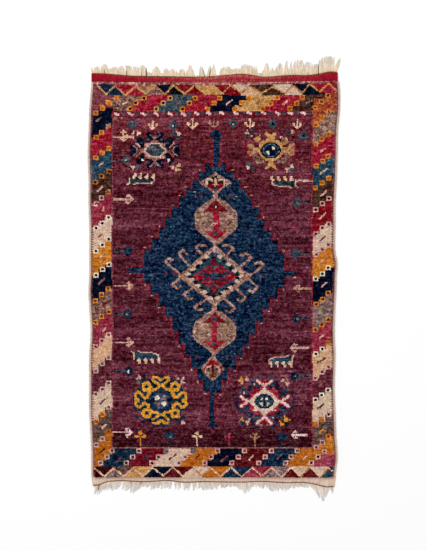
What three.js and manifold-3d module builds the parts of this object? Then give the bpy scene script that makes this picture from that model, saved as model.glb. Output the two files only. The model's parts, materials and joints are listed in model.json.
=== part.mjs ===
// A yastik: a small hand-knotted pile rug with woven ends and warp fringes, lying flat.
// Millimetres. +X runs across the rug, +Y along it to its far end, +Z up. The underside is at zero height.
import * as THREE from "three";
import { mergeVertices } from "three/addons/utils/BufferGeometryUtils.js";
import Module from "manifold-3d";

const wasm = await Module();
wasm.setup();
const { clamp, lerp, mapLinear } = THREE.MathUtils;

// Clear space between neighbouring pieces
const GAP = 0.4;

// The knotted body, foundation and pile together, with its upper rim rounded off
const BODY_HEIGHT = 9.0;
const RIM_ROUNDING = 1.8;
const RIM_MARGIN = 5.0;
const COCKLE = 0.45;
const BODY_COLUMNS = 16;
const BODY_ROWS = 38;

// The overcast selvedges along both sides
const SELVEDGE_WIDTH = 7.6;
const SELVEDGE_HEIGHT = 5.4;
const SELVEDGE_CROWN = 0.35;
const SELVEDGE_SETBACK = 0.8;

// The flat-woven end and the twined cord that locks its edge
const KILIM_HEIGHT = 2.4;
const CORD_WIDTH = 2.6;
const CORD_HEIGHT = 3.2;
const END_COLUMNS = 42;

// The fringe: a narrow strip of warp roots, and the locks of warp that lie out from it
const ROOT_STRIP_WIDTH = 2.6;
const ROOT_STRIP_HEIGHT = 2.0;
const STRAND_PITCH = 4.25;
const STRAND_ROOT = { width: 3.5, height: 1.6 };
const STRAND_TIP = { width: 2.0, height: 0.9 };
const STRAND_STEPS = 2;
const STRAND_GATHER = 0.15;
const STRAND_UNEVENNESS = 0.1;

// Where the body's two ends lie before their waves are added
const NEAR_SEAM = -477;
const FAR_SEAM = 487;

// How far each side lies from the centre line, from the near end to the far end
const SIDES = [
  { along: -500, left: 297, right: 299 },
  { along: -475, left: 298, right: 300 },
  { along: -436, left: 298, right: 305 },
  { along: -377, left: 300, right: 302 },
  { along: -318, left: 303, right: 300 },
  { along: -260, left: 303, right: 298 },
  { along: -182, left: 303, right: 300 },
  { along: -123, left: 300, right: 298 },
  { along: -65, left: 303, right: 300 },
  { along: -26, left: 305, right: 302 },
  { along: 13, left: 303, right: 303 },
  { along: 43, left: 303, right: 305 },
  { along: 72, left: 303, right: 300 },
  { along: 130, left: 303, right: 300 },
  { along: 189, left: 305, right: 300 },
  { along: 248, left: 305, right: 303 },
  { along: 306, left: 307, right: 305 },
  { along: 365, left: 305, right: 306 },
  { along: 423, left: 303, right: 311 },
  { along: 482, left: 298, right: 309 },
  { along: 500, left: 297, right: 306 },
];

// The far end: the seam between pile and flat weave, and the flat weave's outer edge
const FAR_WAVES = [
  { across: -300, seam: 489.5, rim: 507 },
  { across: -263, seam: 488.8, rim: 506 },
  { across: -239, seam: 488.2, rim: 504 },
  { across: -203, seam: 487.6, rim: 501 },
  { across: -154, seam: 487.2, rim: 500 },
  { across: -95, seam: 487, rim: 499 },
  { across: -7, seam: 487, rim: 499 },
  { across: 41, seam: 487.2, rim: 503.5 },
  { across: 66, seam: 487.4, rim: 505.5 },
  { across: 102, seam: 487.7, rim: 501.5 },
  { across: 129, seam: 488, rim: 498 },
  { across: 156, seam: 488.4, rim: 500 },
  { across: 188, seam: 489, rim: 502.5 },
  { across: 237, seam: 489.8, rim: 502.5 },
  { across: 261, seam: 490.3, rim: 506 },
  { across: 293, seam: 490.8, rim: 511 },
  { across: 310, seam: 491, rim: 508 },
];

// The near end, read in the same way: its outer edge drops at both corners
const NEAR_WAVES = [
  { across: -300, seam: -477, rim: -498 },
  { across: -278, seam: -477, rim: -495.5 },
  { across: -263, seam: -477, rim: -489 },
  { across: -239, seam: -477, rim: -486 },
  { across: -166, seam: -477, rim: -488 },
  { across: -105, seam: -477, rim: -485.5 },
  { across: -73, seam: -477, rim: -489 },
  { across: -32, seam: -477, rim: -488 },
  { across: 66, seam: -477, rim: -489 },
  { across: 127, seam: -477, rim: -487.5 },
  { across: 176, seam: -477, rim: -490.5 },
  { across: 225, seam: -477, rim: -490.5 },
  { across: 256, seam: -477, rim: -495.5 },
  { across: 273, seam: -477, rim: -500 },
  { across: 300, seam: -477, rim: -500 },
];

// Clumps of the far fringe: where each starts and ends, how far it reaches, and how far its tips lean
const FAR_CLUMPS = [
  { start: -299, end: -278, reach: 19, lean: -2 },
  { start: -278, end: -266, reach: 27, lean: -1 },
  { start: -266, end: -249, reach: 21, lean: 1 },
  { start: -248, end: -219, reach: 22, lean: 0 },
  { start: -219, end: -193, reach: 23, lean: 0 },
  { start: -193, end: -160, reach: 27, lean: 1 },
  { start: -149, end: -128, reach: 25, lean: -1 },
  { start: -125, end: -106, reach: 23, lean: 0 },
  { start: -105, end: -85, reach: 21, lean: 0 },
  { start: -84, end: -68, reach: 21, lean: 0 },
  { start: -67, end: -45, reach: 30, lean: 1 },
  { start: -35, end: -20, reach: 29, lean: -2 },
  { start: -17, end: -6, reach: 28, lean: 2 },
  { start: -5, end: 8, reach: 31, lean: 2 },
  { start: 16, end: 44, reach: 23, lean: 0 },
  { start: 46, end: 66, reach: 19, lean: 0 },
  { start: 67, end: 93, reach: 27, lean: 0 },
  { start: 94, end: 109, reach: 28, lean: 2 },
  { start: 118, end: 139, reach: 34, lean: 0 },
  { start: 140, end: 151, reach: 25, lean: 2 },
  { start: 152, end: 173, reach: 35, lean: 5 },
  { start: 173, end: 193, reach: 38, lean: 6 },
  { start: 194, end: 212, reach: 38, lean: 4 },
  { start: 213, end: 232, reach: 38, lean: 2 },
  { start: 233, end: 254, reach: 31, lean: 1 },
  { start: 255, end: 276, reach: 39, lean: 2 },
  { start: 276, end: 288, reach: 41, lean: 4 },
  { start: 288, end: 303, reach: 37, lean: 11 },
];

// Clumps of the near fringe, which is shorter and combed aslant at its left
const NEAR_CLUMPS = [
  { start: -291, end: -277, reach: 14, lean: -5 },
  { start: -277, end: -262, reach: 29, lean: -7 },
  { start: -262, end: -234, reach: 22, lean: -6 },
  { start: -225, end: -200, reach: 21, lean: -9 },
  { start: -200, end: -170, reach: 28, lean: -10 },
  { start: -164, end: -146, reach: 16, lean: -1 },
  { start: -145, end: -98, reach: 21, lean: 0 },
  { start: -90, end: -76, reach: 21, lean: 0 },
  { start: -75, end: -61, reach: 21, lean: 1 },
  { start: -60, end: -41, reach: 22, lean: 0 },
  { start: -39, end: -20, reach: 23, lean: 0 },
  { start: -19, end: 7, reach: 22, lean: 0 },
  { start: 9, end: 27, reach: 15, lean: 0 },
  { start: 28, end: 61, reach: 15, lean: 0 },
  { start: 63, end: 93, reach: 25, lean: 0 },
  { start: 95, end: 119, reach: 13, lean: 0 },
  { start: 120, end: 139, reach: 23, lean: 0 },
  { start: 139, end: 166, reach: 26, lean: 0 },
  { start: 166, end: 193, reach: 16, lean: 0 },
  { start: 194, end: 234, reach: 15, lean: 0 },
  { start: 235, end: 256, reach: 30, lean: -1 },
  { start: 256, end: 280, reach: 33, lean: 0 },
  { start: 281, end: 297, reach: 16, lean: 1 },
];

const MATERIALS = {
  pile: { color: 0x6a2630, roughness: 0.95, metalness: 0 },
  overcast: { color: 0xc8b09c, roughness: 0.9, metalness: 0 },
  redWeave: { color: 0x9a1f2c, roughness: 0.92, metalness: 0 },
  paleWeave: { color: 0xc9ab96, roughness: 0.92, metalness: 0 },
  brownTwine: { color: 0x5a3a2c, roughness: 0.9, metalness: 0 },
  warpWool: { color: 0xdccab5, roughness: 0.88, metalness: 0 },
};

// A smooth curve through one column of a table, read against another column
function curveThrough(rows, at, value) {
  const positions = rows.map((row) => row[at]);
  const values = rows.map((row) => row[value]);
  const curve = new THREE.CubicInterpolant(positions, values, 1);
  return (place) => curve.evaluate(clamp(place, positions[0], positions.at(-1)))[0];
}

const leftSide = curveThrough(SIDES, "along", "left");
const rightSide = curveThrough(SIDES, "along", "right");

// Each end of the rug: which way it faces, its curves, its corners and its clumps
const FAR_END = {
  sign: 1,
  seam: curveThrough(FAR_WAVES, "across", "seam"),
  rim: curveThrough(FAR_WAVES, "across", "rim"),
  left: -297,
  right: 305,
  cornerInset: 0,
  clumps: FAR_CLUMPS,
};
const NEAR_END = {
  sign: -1,
  seam: curveThrough(NEAR_WAVES, "across", "seam"),
  rim: curveThrough(NEAR_WAVES, "across", "rim"),
  left: -297,
  right: 300,
  cornerInset: 3,
  clumps: NEAR_CLUMPS,
};

// A repeatable unevenness between -1 and 1
function unevenness(seed) {
  return (Math.sin(seed * 12.9898) * 43758.5453) % 1;
}

// A closed block whose grid points are moved to where place() puts each share across, along and up
function warpedBlock(columns, rows, layers, place) {
  const block = new THREE.BoxGeometry(1, 1, 1, columns, rows, layers);
  block.deleteAttribute("normal");
  block.deleteAttribute("uv");
  block.clearGroups();
  const points = block.attributes.position;
  for (let index = 0; index < points.count; index += 1) {
    const across = points.getX(index) + 0.5;
    const along = points.getY(index) + 0.5;
    const up = points.getZ(index) + 0.5;
    const [x, y, z] = place(across, along, up);
    points.setXYZ(index, x, y, z);
  }
  const closed = mergeVertices(block, 0.001);
  closed.computeVertexNormals();
  return closed;
}

// Grid steps that put one line close to each edge and spread the rest evenly
function closeToEdges(share, steps, margin) {
  const step = Math.round(share * steps);
  if (step === 0 || step === steps) {
    return step / steps;
  }
  return mapLinear(step, 1, steps - 1, margin, 1 - margin);
}

const marginAcross = RIM_MARGIN / (rightSide(0) + leftSide(0));
const marginAlong = RIM_MARGIN / (FAR_SEAM - NEAR_SEAM);

// The place along the rug of a share of the body's length, at a distance from the centre line
function alongBody(share, x, setback) {
  const near = NEAR_END.seam(x) + GAP / 2 + setback;
  const far = FAR_END.seam(x) - GAP / 2 - setback;
  return lerp(near, far, share);
}

// The slight cockle of a hand-knotted rug that lies flat
function cockle(x, y) {
  return COCKLE * Math.sin(x / 58 + 0.7) * Math.cos(y / 77 - 0.4);
}

function knottedBody() {
  return warpedBlock(BODY_COLUMNS, BODY_ROWS, 2, (across, along, up) => {
    const shareAcross = closeToEdges(across, BODY_COLUMNS, marginAcross);
    const shareAlong = closeToEdges(along, BODY_ROWS, marginAlong);
    const guide = lerp(NEAR_SEAM, FAR_SEAM, shareAlong);
    const left = -leftSide(guide) + SELVEDGE_WIDTH + GAP;
    const right = rightSide(guide) - SELVEDGE_WIDTH - GAP;
    const x = lerp(left, right, shareAcross);
    const y = alongBody(shareAlong, x, 0);
    if (up < 1) {
      return [x, y, up * 2 * (BODY_HEIGHT - RIM_ROUNDING)];
    }
    const insetX = RIM_ROUNDING * ((across === 0) - (across === 1));
    const insetY = RIM_ROUNDING * ((along === 0) - (along === 1));
    const onRim = insetX !== 0 || insetY !== 0;
    const height = onRim ? BODY_HEIGHT - 0.4 * RIM_ROUNDING : BODY_HEIGHT + cockle(x, y);
    return [x + insetX, y + insetY, height];
  });
}

// One overcast edge, flat below and crowned above: side is -1 at the left and 1 at the right
function selvedge(side) {
  return warpedBlock(3, BODY_ROWS, 2, (across, along, up) => {
    const shareAlong = closeToEdges(along, BODY_ROWS, marginAlong);
    const guide = lerp(NEAR_SEAM, FAR_SEAM, shareAlong);
    const outer = side < 0 ? -leftSide(guide) : rightSide(guide);
    const middle = outer - (side * SELVEDGE_WIDTH) / 2;
    const swing = (across - 0.5) * SELVEDGE_WIDTH * (1 - SELVEDGE_CROWN * up * up);
    const x = middle + swing;
    const crown = 1 - SELVEDGE_CROWN * (2 * across - 1) ** 2;
    return [x, alongBody(shareAlong, x, SELVEDGE_SETBACK), SELVEDGE_HEIGHT * up * crown];
  });
}

// A share that runs from the inside of an end band, 0, to its outside, 1
function outward(end, along) {
  return end.sign > 0 ? along : 1 - along;
}

// The place across the rug of a share of an end's width: the corners draw in towards the outside
function acrossEnd(end, across, share) {
  const inset = end.cornerInset * share;
  return lerp(end.left + inset, end.right - inset, across);
}

// The flat-woven end, from the seam of the pile to its own outer edge
function kilimEnd(end) {
  return warpedBlock(END_COLUMNS, 2, 1, (across, along, up) => {
    const share = outward(end, along);
    const x = acrossEnd(end, across, share);
    const inner = end.seam(x) + (end.sign * GAP) / 2;
    return [x, lerp(inner, end.rim(x), share), up * KILIM_HEIGHT];
  });
}

// The twined cord that holds the wefts in place, along the outer edge of the flat weave
function twinedCord(end) {
  return warpedBlock(END_COLUMNS, 2, 2, (across, along, up) => {
    const share = outward(end, along);
    const x = acrossEnd(end, across, 1);
    const swing = (share - 0.5) * CORD_WIDTH * (1 - 0.3 * up * up);
    const middle = GAP + CORD_WIDTH / 2;
    const crown = 1 - 0.25 * (2 * share - 1) ** 2;
    return [x, end.rim(x) + end.sign * (middle + swing), up * crown * CORD_HEIGHT];
  });
}

const ROOT_START = CORD_WIDTH + 2 * GAP;

// The narrow strip in which all the warps of one fringe are rooted
function rootStrip(end) {
  return warpedBlock(END_COLUMNS, 1, 1, (across, along, up) => {
    const share = outward(end, along);
    const x = acrossEnd(end, across, 1);
    const distance = ROOT_START + share * ROOT_STRIP_WIDTH;
    return [x, end.rim(x) + end.sign * distance, up * ROOT_STRIP_HEIGHT];
  });
}

// One lock of warp, level on the floor, from inside the strip to its tip
function strand(end, root, reach, drift) {
  const start = end.rim(root) + end.sign * (ROOT_START + ROOT_STRIP_WIDTH / 2);
  const tip = end.rim(root) + end.sign * reach;
  return warpedBlock(1, STRAND_STEPS, 1, (across, along, up) => {
    const share = outward(end, along);
    const width = lerp(STRAND_ROOT.width, STRAND_TIP.width, share);
    const height = lerp(STRAND_ROOT.height, STRAND_TIP.height, share);
    const x = root + drift * share ** 1.4 + (across - 0.5) * width;
    return [x, lerp(start, tip, share), up * height];
  });
}

// The locks of one clump: they reach furthest in its middle, and their tips draw together and lean
function clumpStrands(end, clump) {
  const count = Math.round((clump.end - clump.start) / STRAND_PITCH);
  const middle = (clump.start + clump.end) / 2;
  const strands = [];
  for (let index = 0; index < count; index += 1) {
    const root = lerp(clump.start, clump.end, (index + 0.5) / count);
    const offset = (root - middle) / (clump.end - clump.start);
    const rounding = 1 - 0.5 * offset * offset;
    const uneven = 1 + STRAND_UNEVENNESS * unevenness(root);
    const drift = clump.lean - (root - middle) * STRAND_GATHER;
    strands.push(strand(end, root, clump.reach * rounding * uneven, drift));
  }
  return strands;
}

function toSolid(geometry) {
  return new wasm.Manifold(
    new wasm.Mesh({
      numProp: 3,
      vertProperties: new Float32Array(geometry.attributes.position.array),
      triVerts: new Uint32Array(geometry.index.array),
    }),
  );
}

function fromSolid(solid) {
  const mesh = solid.getMesh();
  const geometry = new THREE.BufferGeometry();
  geometry.setAttribute("position", new THREE.BufferAttribute(mesh.vertProperties, 3));
  geometry.setIndex(new THREE.BufferAttribute(mesh.triVerts, 1));
  geometry.computeVertexNormals();
  return geometry;
}

// A whole fringe: every lock fused at its root into the strip
function fringe(end) {
  const strands = end.clumps.flatMap((clump) => clumpStrands(end, clump));
  let solid = toSolid(rootStrip(end));
  for (const lock of strands) {
    solid = solid.add(toSolid(lock));
  }
  return fromSolid(solid);
}

function piece(name, geometry, finish) {
  const mesh = new THREE.Mesh(geometry, new THREE.MeshStandardMaterial(finish));
  mesh.name = name;
  return mesh;
}

const rug = new THREE.Group();
rug.add(piece("knotted_body", knottedBody(), MATERIALS.pile));
rug.add(piece("selvedge_left", selvedge(-1), MATERIALS.overcast));
rug.add(piece("selvedge_right", selvedge(1), MATERIALS.overcast));
rug.add(piece("kilim_end_top", kilimEnd(FAR_END), MATERIALS.redWeave));
rug.add(piece("kilim_end_bottom", kilimEnd(NEAR_END), MATERIALS.paleWeave));
rug.add(piece("twined_cord_top", twinedCord(FAR_END), MATERIALS.brownTwine));
rug.add(piece("twined_cord_bottom", twinedCord(NEAR_END), MATERIALS.brownTwine));
rug.add(piece("fringe_top", fringe(FAR_END), MATERIALS.warpWool));
rug.add(piece("fringe_bottom", fringe(NEAR_END), MATERIALS.warpWool));

// The rug stands with the middle of its whole outline, fringes included, over the origin
const outline = new THREE.Box3().setFromObject(rug);
const middle = outline.getCenter(new THREE.Vector3());
rug.position.set(-middle.x, -middle.y, -outline.min.z);
rug.updateMatrixWorld(true);

export default rug;
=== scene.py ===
"""The looks of a yastik, a small hand-knotted pile rug that lies flat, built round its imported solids.

The pile is real: every knot of the rug is one small tuft of wool, tied in the colour that the drawing of
the rug, further down, gives it. Metres, with +X across the rug, +Y along it to its far end and +Z up.
"""
import json
import math

import bpy
import numpy as np
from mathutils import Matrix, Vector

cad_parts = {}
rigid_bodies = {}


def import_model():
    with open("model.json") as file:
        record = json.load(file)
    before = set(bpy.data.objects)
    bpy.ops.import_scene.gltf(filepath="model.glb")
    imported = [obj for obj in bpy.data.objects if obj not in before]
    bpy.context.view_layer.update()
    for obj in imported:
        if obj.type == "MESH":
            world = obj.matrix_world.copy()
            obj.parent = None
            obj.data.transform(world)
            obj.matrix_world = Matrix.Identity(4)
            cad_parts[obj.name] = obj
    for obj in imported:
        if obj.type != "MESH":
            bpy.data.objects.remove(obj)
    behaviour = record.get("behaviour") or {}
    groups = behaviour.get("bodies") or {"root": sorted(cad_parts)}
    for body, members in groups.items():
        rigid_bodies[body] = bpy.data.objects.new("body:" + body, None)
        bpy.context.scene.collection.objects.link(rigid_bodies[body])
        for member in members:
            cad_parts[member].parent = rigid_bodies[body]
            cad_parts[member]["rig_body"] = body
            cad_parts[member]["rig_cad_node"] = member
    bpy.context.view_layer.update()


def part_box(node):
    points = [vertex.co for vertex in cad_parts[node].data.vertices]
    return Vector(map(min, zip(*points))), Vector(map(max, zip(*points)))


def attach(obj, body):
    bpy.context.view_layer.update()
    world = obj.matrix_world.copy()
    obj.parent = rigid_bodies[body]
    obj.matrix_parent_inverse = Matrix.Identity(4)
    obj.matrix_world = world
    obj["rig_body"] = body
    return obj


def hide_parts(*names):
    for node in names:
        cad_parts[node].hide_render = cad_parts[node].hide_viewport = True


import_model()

bl_info = {
    "name": "Yastik rug",
    "version": (1, 0, 0),
    "blender": (4, 5, 0),
    "location": "View3D > Sidebar > Rug",
    "description": "Builds the pile, woven ends, edges and fringes of a small knotted rug",
    "category": "Object",
}

MM = 0.001

# The drawing of the rug is measured in pixels of the photograph, across to the right and down.
# One pixel is PIXEL long on the rug, and the drawing's origin on the rug is at these pixels.
PIXEL = 2.44 * MM
DRAWING_CENTRE = 213.0
DRAWING_MIDDLE = 281.5
PHOTO_WIDTH = 427
PHOTO_HEIGHT = 550

# Where the woven end and the body start before the rug is centred over the origin, in millimetres
END_LEFT = -297.0
BODY_NEAR_EDGE = -476.8

# The knotted body, whose seams with the flat weaves are given in millimetres
COLUMNS = 187
ROWS = 327
PILE_BANDS = 5
FOUNDATION_HEIGHT = 3.0 * MM
PILE_TOP = 8.6 * MM
NEAR_SEAM = -477.0
FAR_SEAM = 487.0
CLOTH_COLUMNS = 24
CLOTH_ROWS = 40

# How unevenly the tufts stand: worn hollows and how many knots across they are, single heights, turn, width,
# and lean across and along
WEAR = 0.22 * MM
WORN_KNOTS = 9
HEIGHT_SCATTER = 0.16 * MM
TURN_SCATTER = math.radians(16)
WIDTH_SCATTER = 0.10
LEAN_SCATTER = (0.30 * MM, 0.32 * MM)
# A tuft starts this far inside the cloth and has this share of its width there. This power bends it as it
# leans, and its foot is painted darker, to this share of its colour, as painted shade deep between the tufts.
FOOT_DEPTH = 0.5 * MM
FOOT_WIDTH = 0.62
LEAN_POWER = 1.5
FOOT_PAINTED_SHADE = 0.45

# The edges and the ends
SELVEDGE_WIDTH = 7.6 * MM
SELVEDGE_HEIGHT = 4.9 * MM
KILIM_HEIGHT = 2.3 * MM
CORD_WIDTH = 2.6 * MM
GAP = 0.4 * MM

# A selvedge: points round it, rings to a wrap of yarn, the wraps' slant in wraps, their width as a share of
# the selvedge's, how deep the grooves between them are, how much they differ in size, and the largest
WRAP_AROUND = 8
RINGS_PER_WRAP = 3
WRAP_SLANT = 0.5
WRAP_REACH = 0.96
WRAP_DEPTH = 0.14
WRAP_SCATTER = 0.05
WIDEST_WRAP = 1.08
# A low power makes its top flatter, it stops this many millimetres short of the seams, its wraps differ in
# tone, and the grooves between them are painted darker, as painted shade
WRAP_ROUNDNESS = 0.8
SHORT_OF_SEAM = 1.0
WRAP_TONE = 0.07
GROOVE_PAINTED_SHADE = 0.20

# A flat weave: ribs across it, rows of points along it, its thickness at a rib, how deep the grooves between
# ribs are, and the colour of its pale flecks
RIBS = 187
WEAVE_ROWS = 4
WEAVE_THICKNESS = KILIM_HEIGHT - 0.6 * MM
GROOVE = 0.45 * MM
PALE_FLECK = (214, 130, 124)
# In millimetres, how far a flat weave reaches under the pile, and how far past its rim, where the yarns start
UNDER_PILE = 1.2
PAST_RIM = 0.4
# The far flat weave has faded: in millimetres where most and how far round, at which share of its way out
# least, how fast that grows to its edges and from what, and the mean, scatter and limit of the fading
FADED_AT = 30
FADED_REACH = 150
FRESH_AT = 0.45
FADE_GROWS = 2.4
FADE_LEAST = 0.15
FADE_MEAN = 0.35
FADE_SCATTER = 0.40
FADE_MOST = 0.95

# A twined cord: twists, rings to a twist, points round a yarn, and in millimetres the radius of a yarn and of
# the twist
TWISTS = 92
RINGS_PER_TWIST = 5
CORD_AROUND = 4
CORD_YARN = 0.78
CORD_TWIST = 0.62
# It starts this share of the end's width in, and is this share of it long. Its tone differs from ring to
# ring, and more slowly along it, between so many places.
CORD_START = 0.002
CORD_LENGTH = 0.996
CORD_TONE = 0.2
SLOW_TONE = 0.35
SLOW_PLACES = 40

# A yarn of the fringe: rings, points round it, and in millimetres its radius at the root, how much it thins
# and how far the tone of its root reaches
YARN_RINGS = 5
YARN_AROUND = 4
YARN_RADIUS = 0.70
YARN_THINS = 0.36
ROOT_REACH = 17
# The power that bends a leaning yarn, and in millimetres how far it sways, lies off the floor and strays at
# its tip. Then how much yarns differ in thickness and in tone, and the share of their clump's reach that
# those underneath have.
YARN_BEND = 1.4
SWAY = 0.5
LIFT = 1.1
TIP_STRAYS = 0.4
YARN_SCATTER = 0.15
YARN_TONE = 0.10
REACH_UNDERNEATH = (0.45, 0.85)

SEED = 7

# How far the knots of one wool differ in tone and in tint, on the display's scale to 255. The spread in tone
# is partly the wool's own and partly painted highlights and shade on single tufts.
GRAIN_AND_PAINTED_LIGHT = 17.0
TINT_GRAIN = 5.0
# How much single knots add to the tone's grain, and how much patches of so many knots down and across add
GRAIN_OF_KNOTS = 0.6
GRAIN_OF_PATCHES = ((0.5, 2, 2), (0.45, 1, 5))
# No knot is darker or lighter than this on that scale
DARKEST = 3
LIGHTEST = 250


def table(text):
    """A small table written as text. Its first line names the columns, and numbers are read as numbers."""
    names, *lines = (line.split() for line in text.strip().splitlines())
    return [{name: number_or_word(cell) for name, cell in zip(names, line)} for line in lines]


def number_or_word(cell):
    try:
        return float(cell)
    except ValueError:
        return cell


def figures_from(text):
    """Figures written as text: each is its name and its lines, up to an empty line."""
    blocks = (block.splitlines() for block in text.strip().split("\n\n"))
    return {name: [line.split() for line in lines] for name, *lines in blocks}


def column(rows, name):
    return np.array([row[name] for row in rows])


# Wools, as they show on the rug in even light, and how strongly their knots differ in tone, partly in their
# own wool and partly in painted highlights and shade
WOOLS = table("""
wool     red green blue mottling
field    96  38    53   1
madder   116 33    44   1
crimson  156 33    51   1.1
berry    158 64    84   1
scarlet  128 18    30   1
magenta  147 48    66   1
claret   108 15    29   1
garnet   92  20    24   1
oxblood  58  13    18   1
plum     98  42    54   1
mauve    126 60    72   1
rose     152 98    94   1
blush    208 162   152  1
petal    228 190   186  1
peach    228 184   156  1
cream    211 181   160  0.6
ivory    226 212   188  0.8
straw    207 165   131  0.7
sand     196 146   90   0.9
tan      168 122   92   1.4
fawn     160 119   106  1.5
drab     149 114   100  1.6
camel    140 103   84   1
gold     180 101   28   0.9
saffron  198 122   42   0.9
orange   208 128   50   1
henna    156 72    26   1
rust     164 76    46   1
taupe    130 92    80   1.7
stone    134 106   102  1.4
mouse    102 76    67   1.2
brown    72  43    33   1
black    20  14    16   0.6
navy     7   15    36   0.6
indigo   20  41    67   1.3
dusk     64  68    96   1
pine     38  57    60   1
petrol   18  42    64   1
teal     40  66    84   1
slate    62  76    86   1
steel    60  86    112  1
shell    213 184   168  1
clay     186 136   118  1.3
rosewood 166 112   104  2.0
amber    216 152   52   1
bronze   182 114   66   1
""")
WOOL_NAMES = [row["wool"] for row in WOOLS]
WOOL_COLOURS = np.array([(row["red"], row["green"], row["blue"]) for row in WOOLS])


def wool_colour(name):
    return WOOL_COLOURS[WOOL_NAMES.index(name)]


def smooth_curve(rows, at, value):
    """A smooth curve through one column of a table, read against another."""
    places = column(rows, at)
    values = column(rows, value)
    slopes = np.gradient(values, places)

    def read(place):
        place = np.clip(place, places[0], places[-1])
        left = np.clip(np.searchsorted(places, place) - 1, 0, len(places) - 2)
        span = places[left + 1] - places[left]
        t = (place - places[left]) / span
        rise = (values[left + 1] - values[left]) * t * t * (3 - 2 * t)
        lead = slopes[left] * span * t * (1 - t) ** 2
        trail = slopes[left + 1] * span * t * t * (1 - t)
        return values[left] + rise + lead - trail

    return read


# How far each side lies from the centre line, in millimetres, from the near end to the far end
SIDES = table("""
along left right
-500  297  299
-475  298  300
-436  298  305
-377  300  302
-318  303  300
-260  303  298
-182  303  300
-123  300  298
-65   303  300
-26   305  302
13    303  303
43    303  305
72    303  300
130   303  300
189   305  300
248   305  303
306   307  305
365   305  306
423   303  311
482   298  309
500   297  306
""")

# The far end, in millimetres: the seam between pile and flat weave, and the flat weave's outer edge
FAR_WAVES = table("""
across seam  rim
-300   489.5 507
-263   488.8 506
-239   488.2 504
-203   487.6 501
-154   487.2 500
-95    487   499
-7     487   499
41     487.2 503.5
66     487.4 505.5
102    487.7 501.5
129    488   498
156    488.4 500
188    489   502.5
237    489.8 502.5
261    490.3 506
293    490.8 511
310    491   508
""")

# The near end, read in the same way
NEAR_WAVES = table("""
across seam rim
-300   -477 -498
-278   -477 -495.5
-263   -477 -489
-239   -477 -486
-166   -477 -488
-105   -477 -485.5
-73    -477 -489
-32    -477 -488
66     -477 -489
127    -477 -487.5
176    -477 -490.5
225    -477 -490.5
256    -477 -495.5
273    -477 -500
300    -477 -500
""")

# The yarns of a fringe draw together in fingers of this width, in millimetres, each of which strays so far.
# Their thin tips hardly show, so they are longer than the clumps look.
FINGER_WIDTH = 5.0
FINGERS = 240
FINGER_STRAYS = 14
LONGER_THAN_SEEN = 1.07
LONGEST = 1.05

# Clumps of the far fringe, in millimetres: start, end, and reach beyond the rim of the longest yarns. Fall is
# how much shorter the outermost yarns are, gather how far the tips draw together, and lean how far they lean.
FAR_CLUMPS = table("""
start end  reach fall gather lean
-297 -292  17   0.30 0.2 -3
-292 -274  18   0.10 0.0  0
-274 -255  25   0.25 0.1 -1
-255 -250  15   0.10 0.0  0
-250 -229  19.5 0.15 0.0  0
-229 -183  25   0.12 0.0  0
-183 -162  28.5 0.30 0.1  1
-162 -150  12   0.30 0.0  1
-150 -128  25   0.45 0.1  0
-128 -122  10   0.10 0.0  0
-122 -108  22   0.35 0.1  0
-107 -88   20.5 0.35 0.1 -1
-88  -82   12   0.10 0.0  0
-82  -67   20   0.20 0.0 -1
-67  -45   28.5 0.50 0.2  0
-45  -34   6    0.10 0.0  0
-34  -21   29   0.50 0.4 -2
-21  -15   6    0.10 0.0  0
-15  -5    27   0.50 0.4  2
-5   7     31   0.50 0.4  1
7    15    5    0.10 0.0  0
15   44    22.5 0.35 0.0  1
44   68    16   0.10 0.0  0
68   97    25   0.15 0.0  0
97   108   25   0.40 0.2  1
108  119   11   0.10 0.0  0
119  140   33   0.60 0.3  1
140  149   22   0.20 0.0  0
149  169   33   0.40 0.2  5
172  183   36   0.50 0.3  2
184  191   37   0.50 0.6  4
191  199   38   0.50 0.6  5
199  206   38   0.50 0.6  5
206  223   38   0.40 0.1  0
223  242   33   0.20 0.0  0
242  256   27   0.10 0.0  1
256  294   38   0.12 0.0  3
294  303   33   0.30 0.1 11
""")

# Brown yarns that have strayed from the cords into the fringes, and how high they lie on the others
STRAY_LIFT = 1.5
BROWN_STRAYS = table("""
end    across reach lean
top    -265.5 14    -1
top    -230.6 4     0
top    -211   16    0
top    -174.5 19    0
top    -163.5 23    0
top    -162.2 18    0
top    -135   4     0
top    -19.8  25    -7
top    -8.5   24    3
top    134.7  5     0
top    232.3  9     0
top    257.4  24    1
bottom -277.7 16    -4
bottom -200   7     -3
bottom -174   9     -5
bottom -31    4     0
""")

# Clumps of the near fringe, which is shorter and combed aslant at its left
NEAR_CLUMPS = table("""
start end  reach fall gather lean
-289 -270  25   0.30 0.1 -3
-270 -239  24   0.25 0.0 -7
-239 -222  24   0.20 0.0 -10
-217 -196  24   0.25 0.0 -10
-196 -172  28   0.40 0.1 -10
-172 -149  14   0.10 0.0 -2
-149 -139  21   0.20 0.0 -5
-137 -100  20.5 0.10 0.0 -2
-94  -88   20   0.20 0.3  0
-87  -79   20   0.20 0.3  0
-73  -55   21   0.15 0.1  0
-51  -42   20.5 0.15 0.2  0
-37  2     20   0.10 0.0  0
2    13    19   0.10 0.0 -1
13   37    15.5 0.10 0.0 -2
37   57    12.5 0.05 0.0  0
57   95    27   0.50 0.1  2
95   115   13.5 0.05 0.0  0
115  135   17   0.10 0.0  1
135  153   26   0.30 0.0  3
153  162   22   0.20 0.0  1
162  186   20   0.25 0.0  3
186  210   15   0.10 0.0  0
210  234   12.5 0.05 0.0  0
234  284   36   0.72 0.45 8
286  294   17   0.30 0.3  2
""")

left_side = smooth_curve(SIDES, "along", "left")
right_side = smooth_curve(SIDES, "along", "right")


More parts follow.
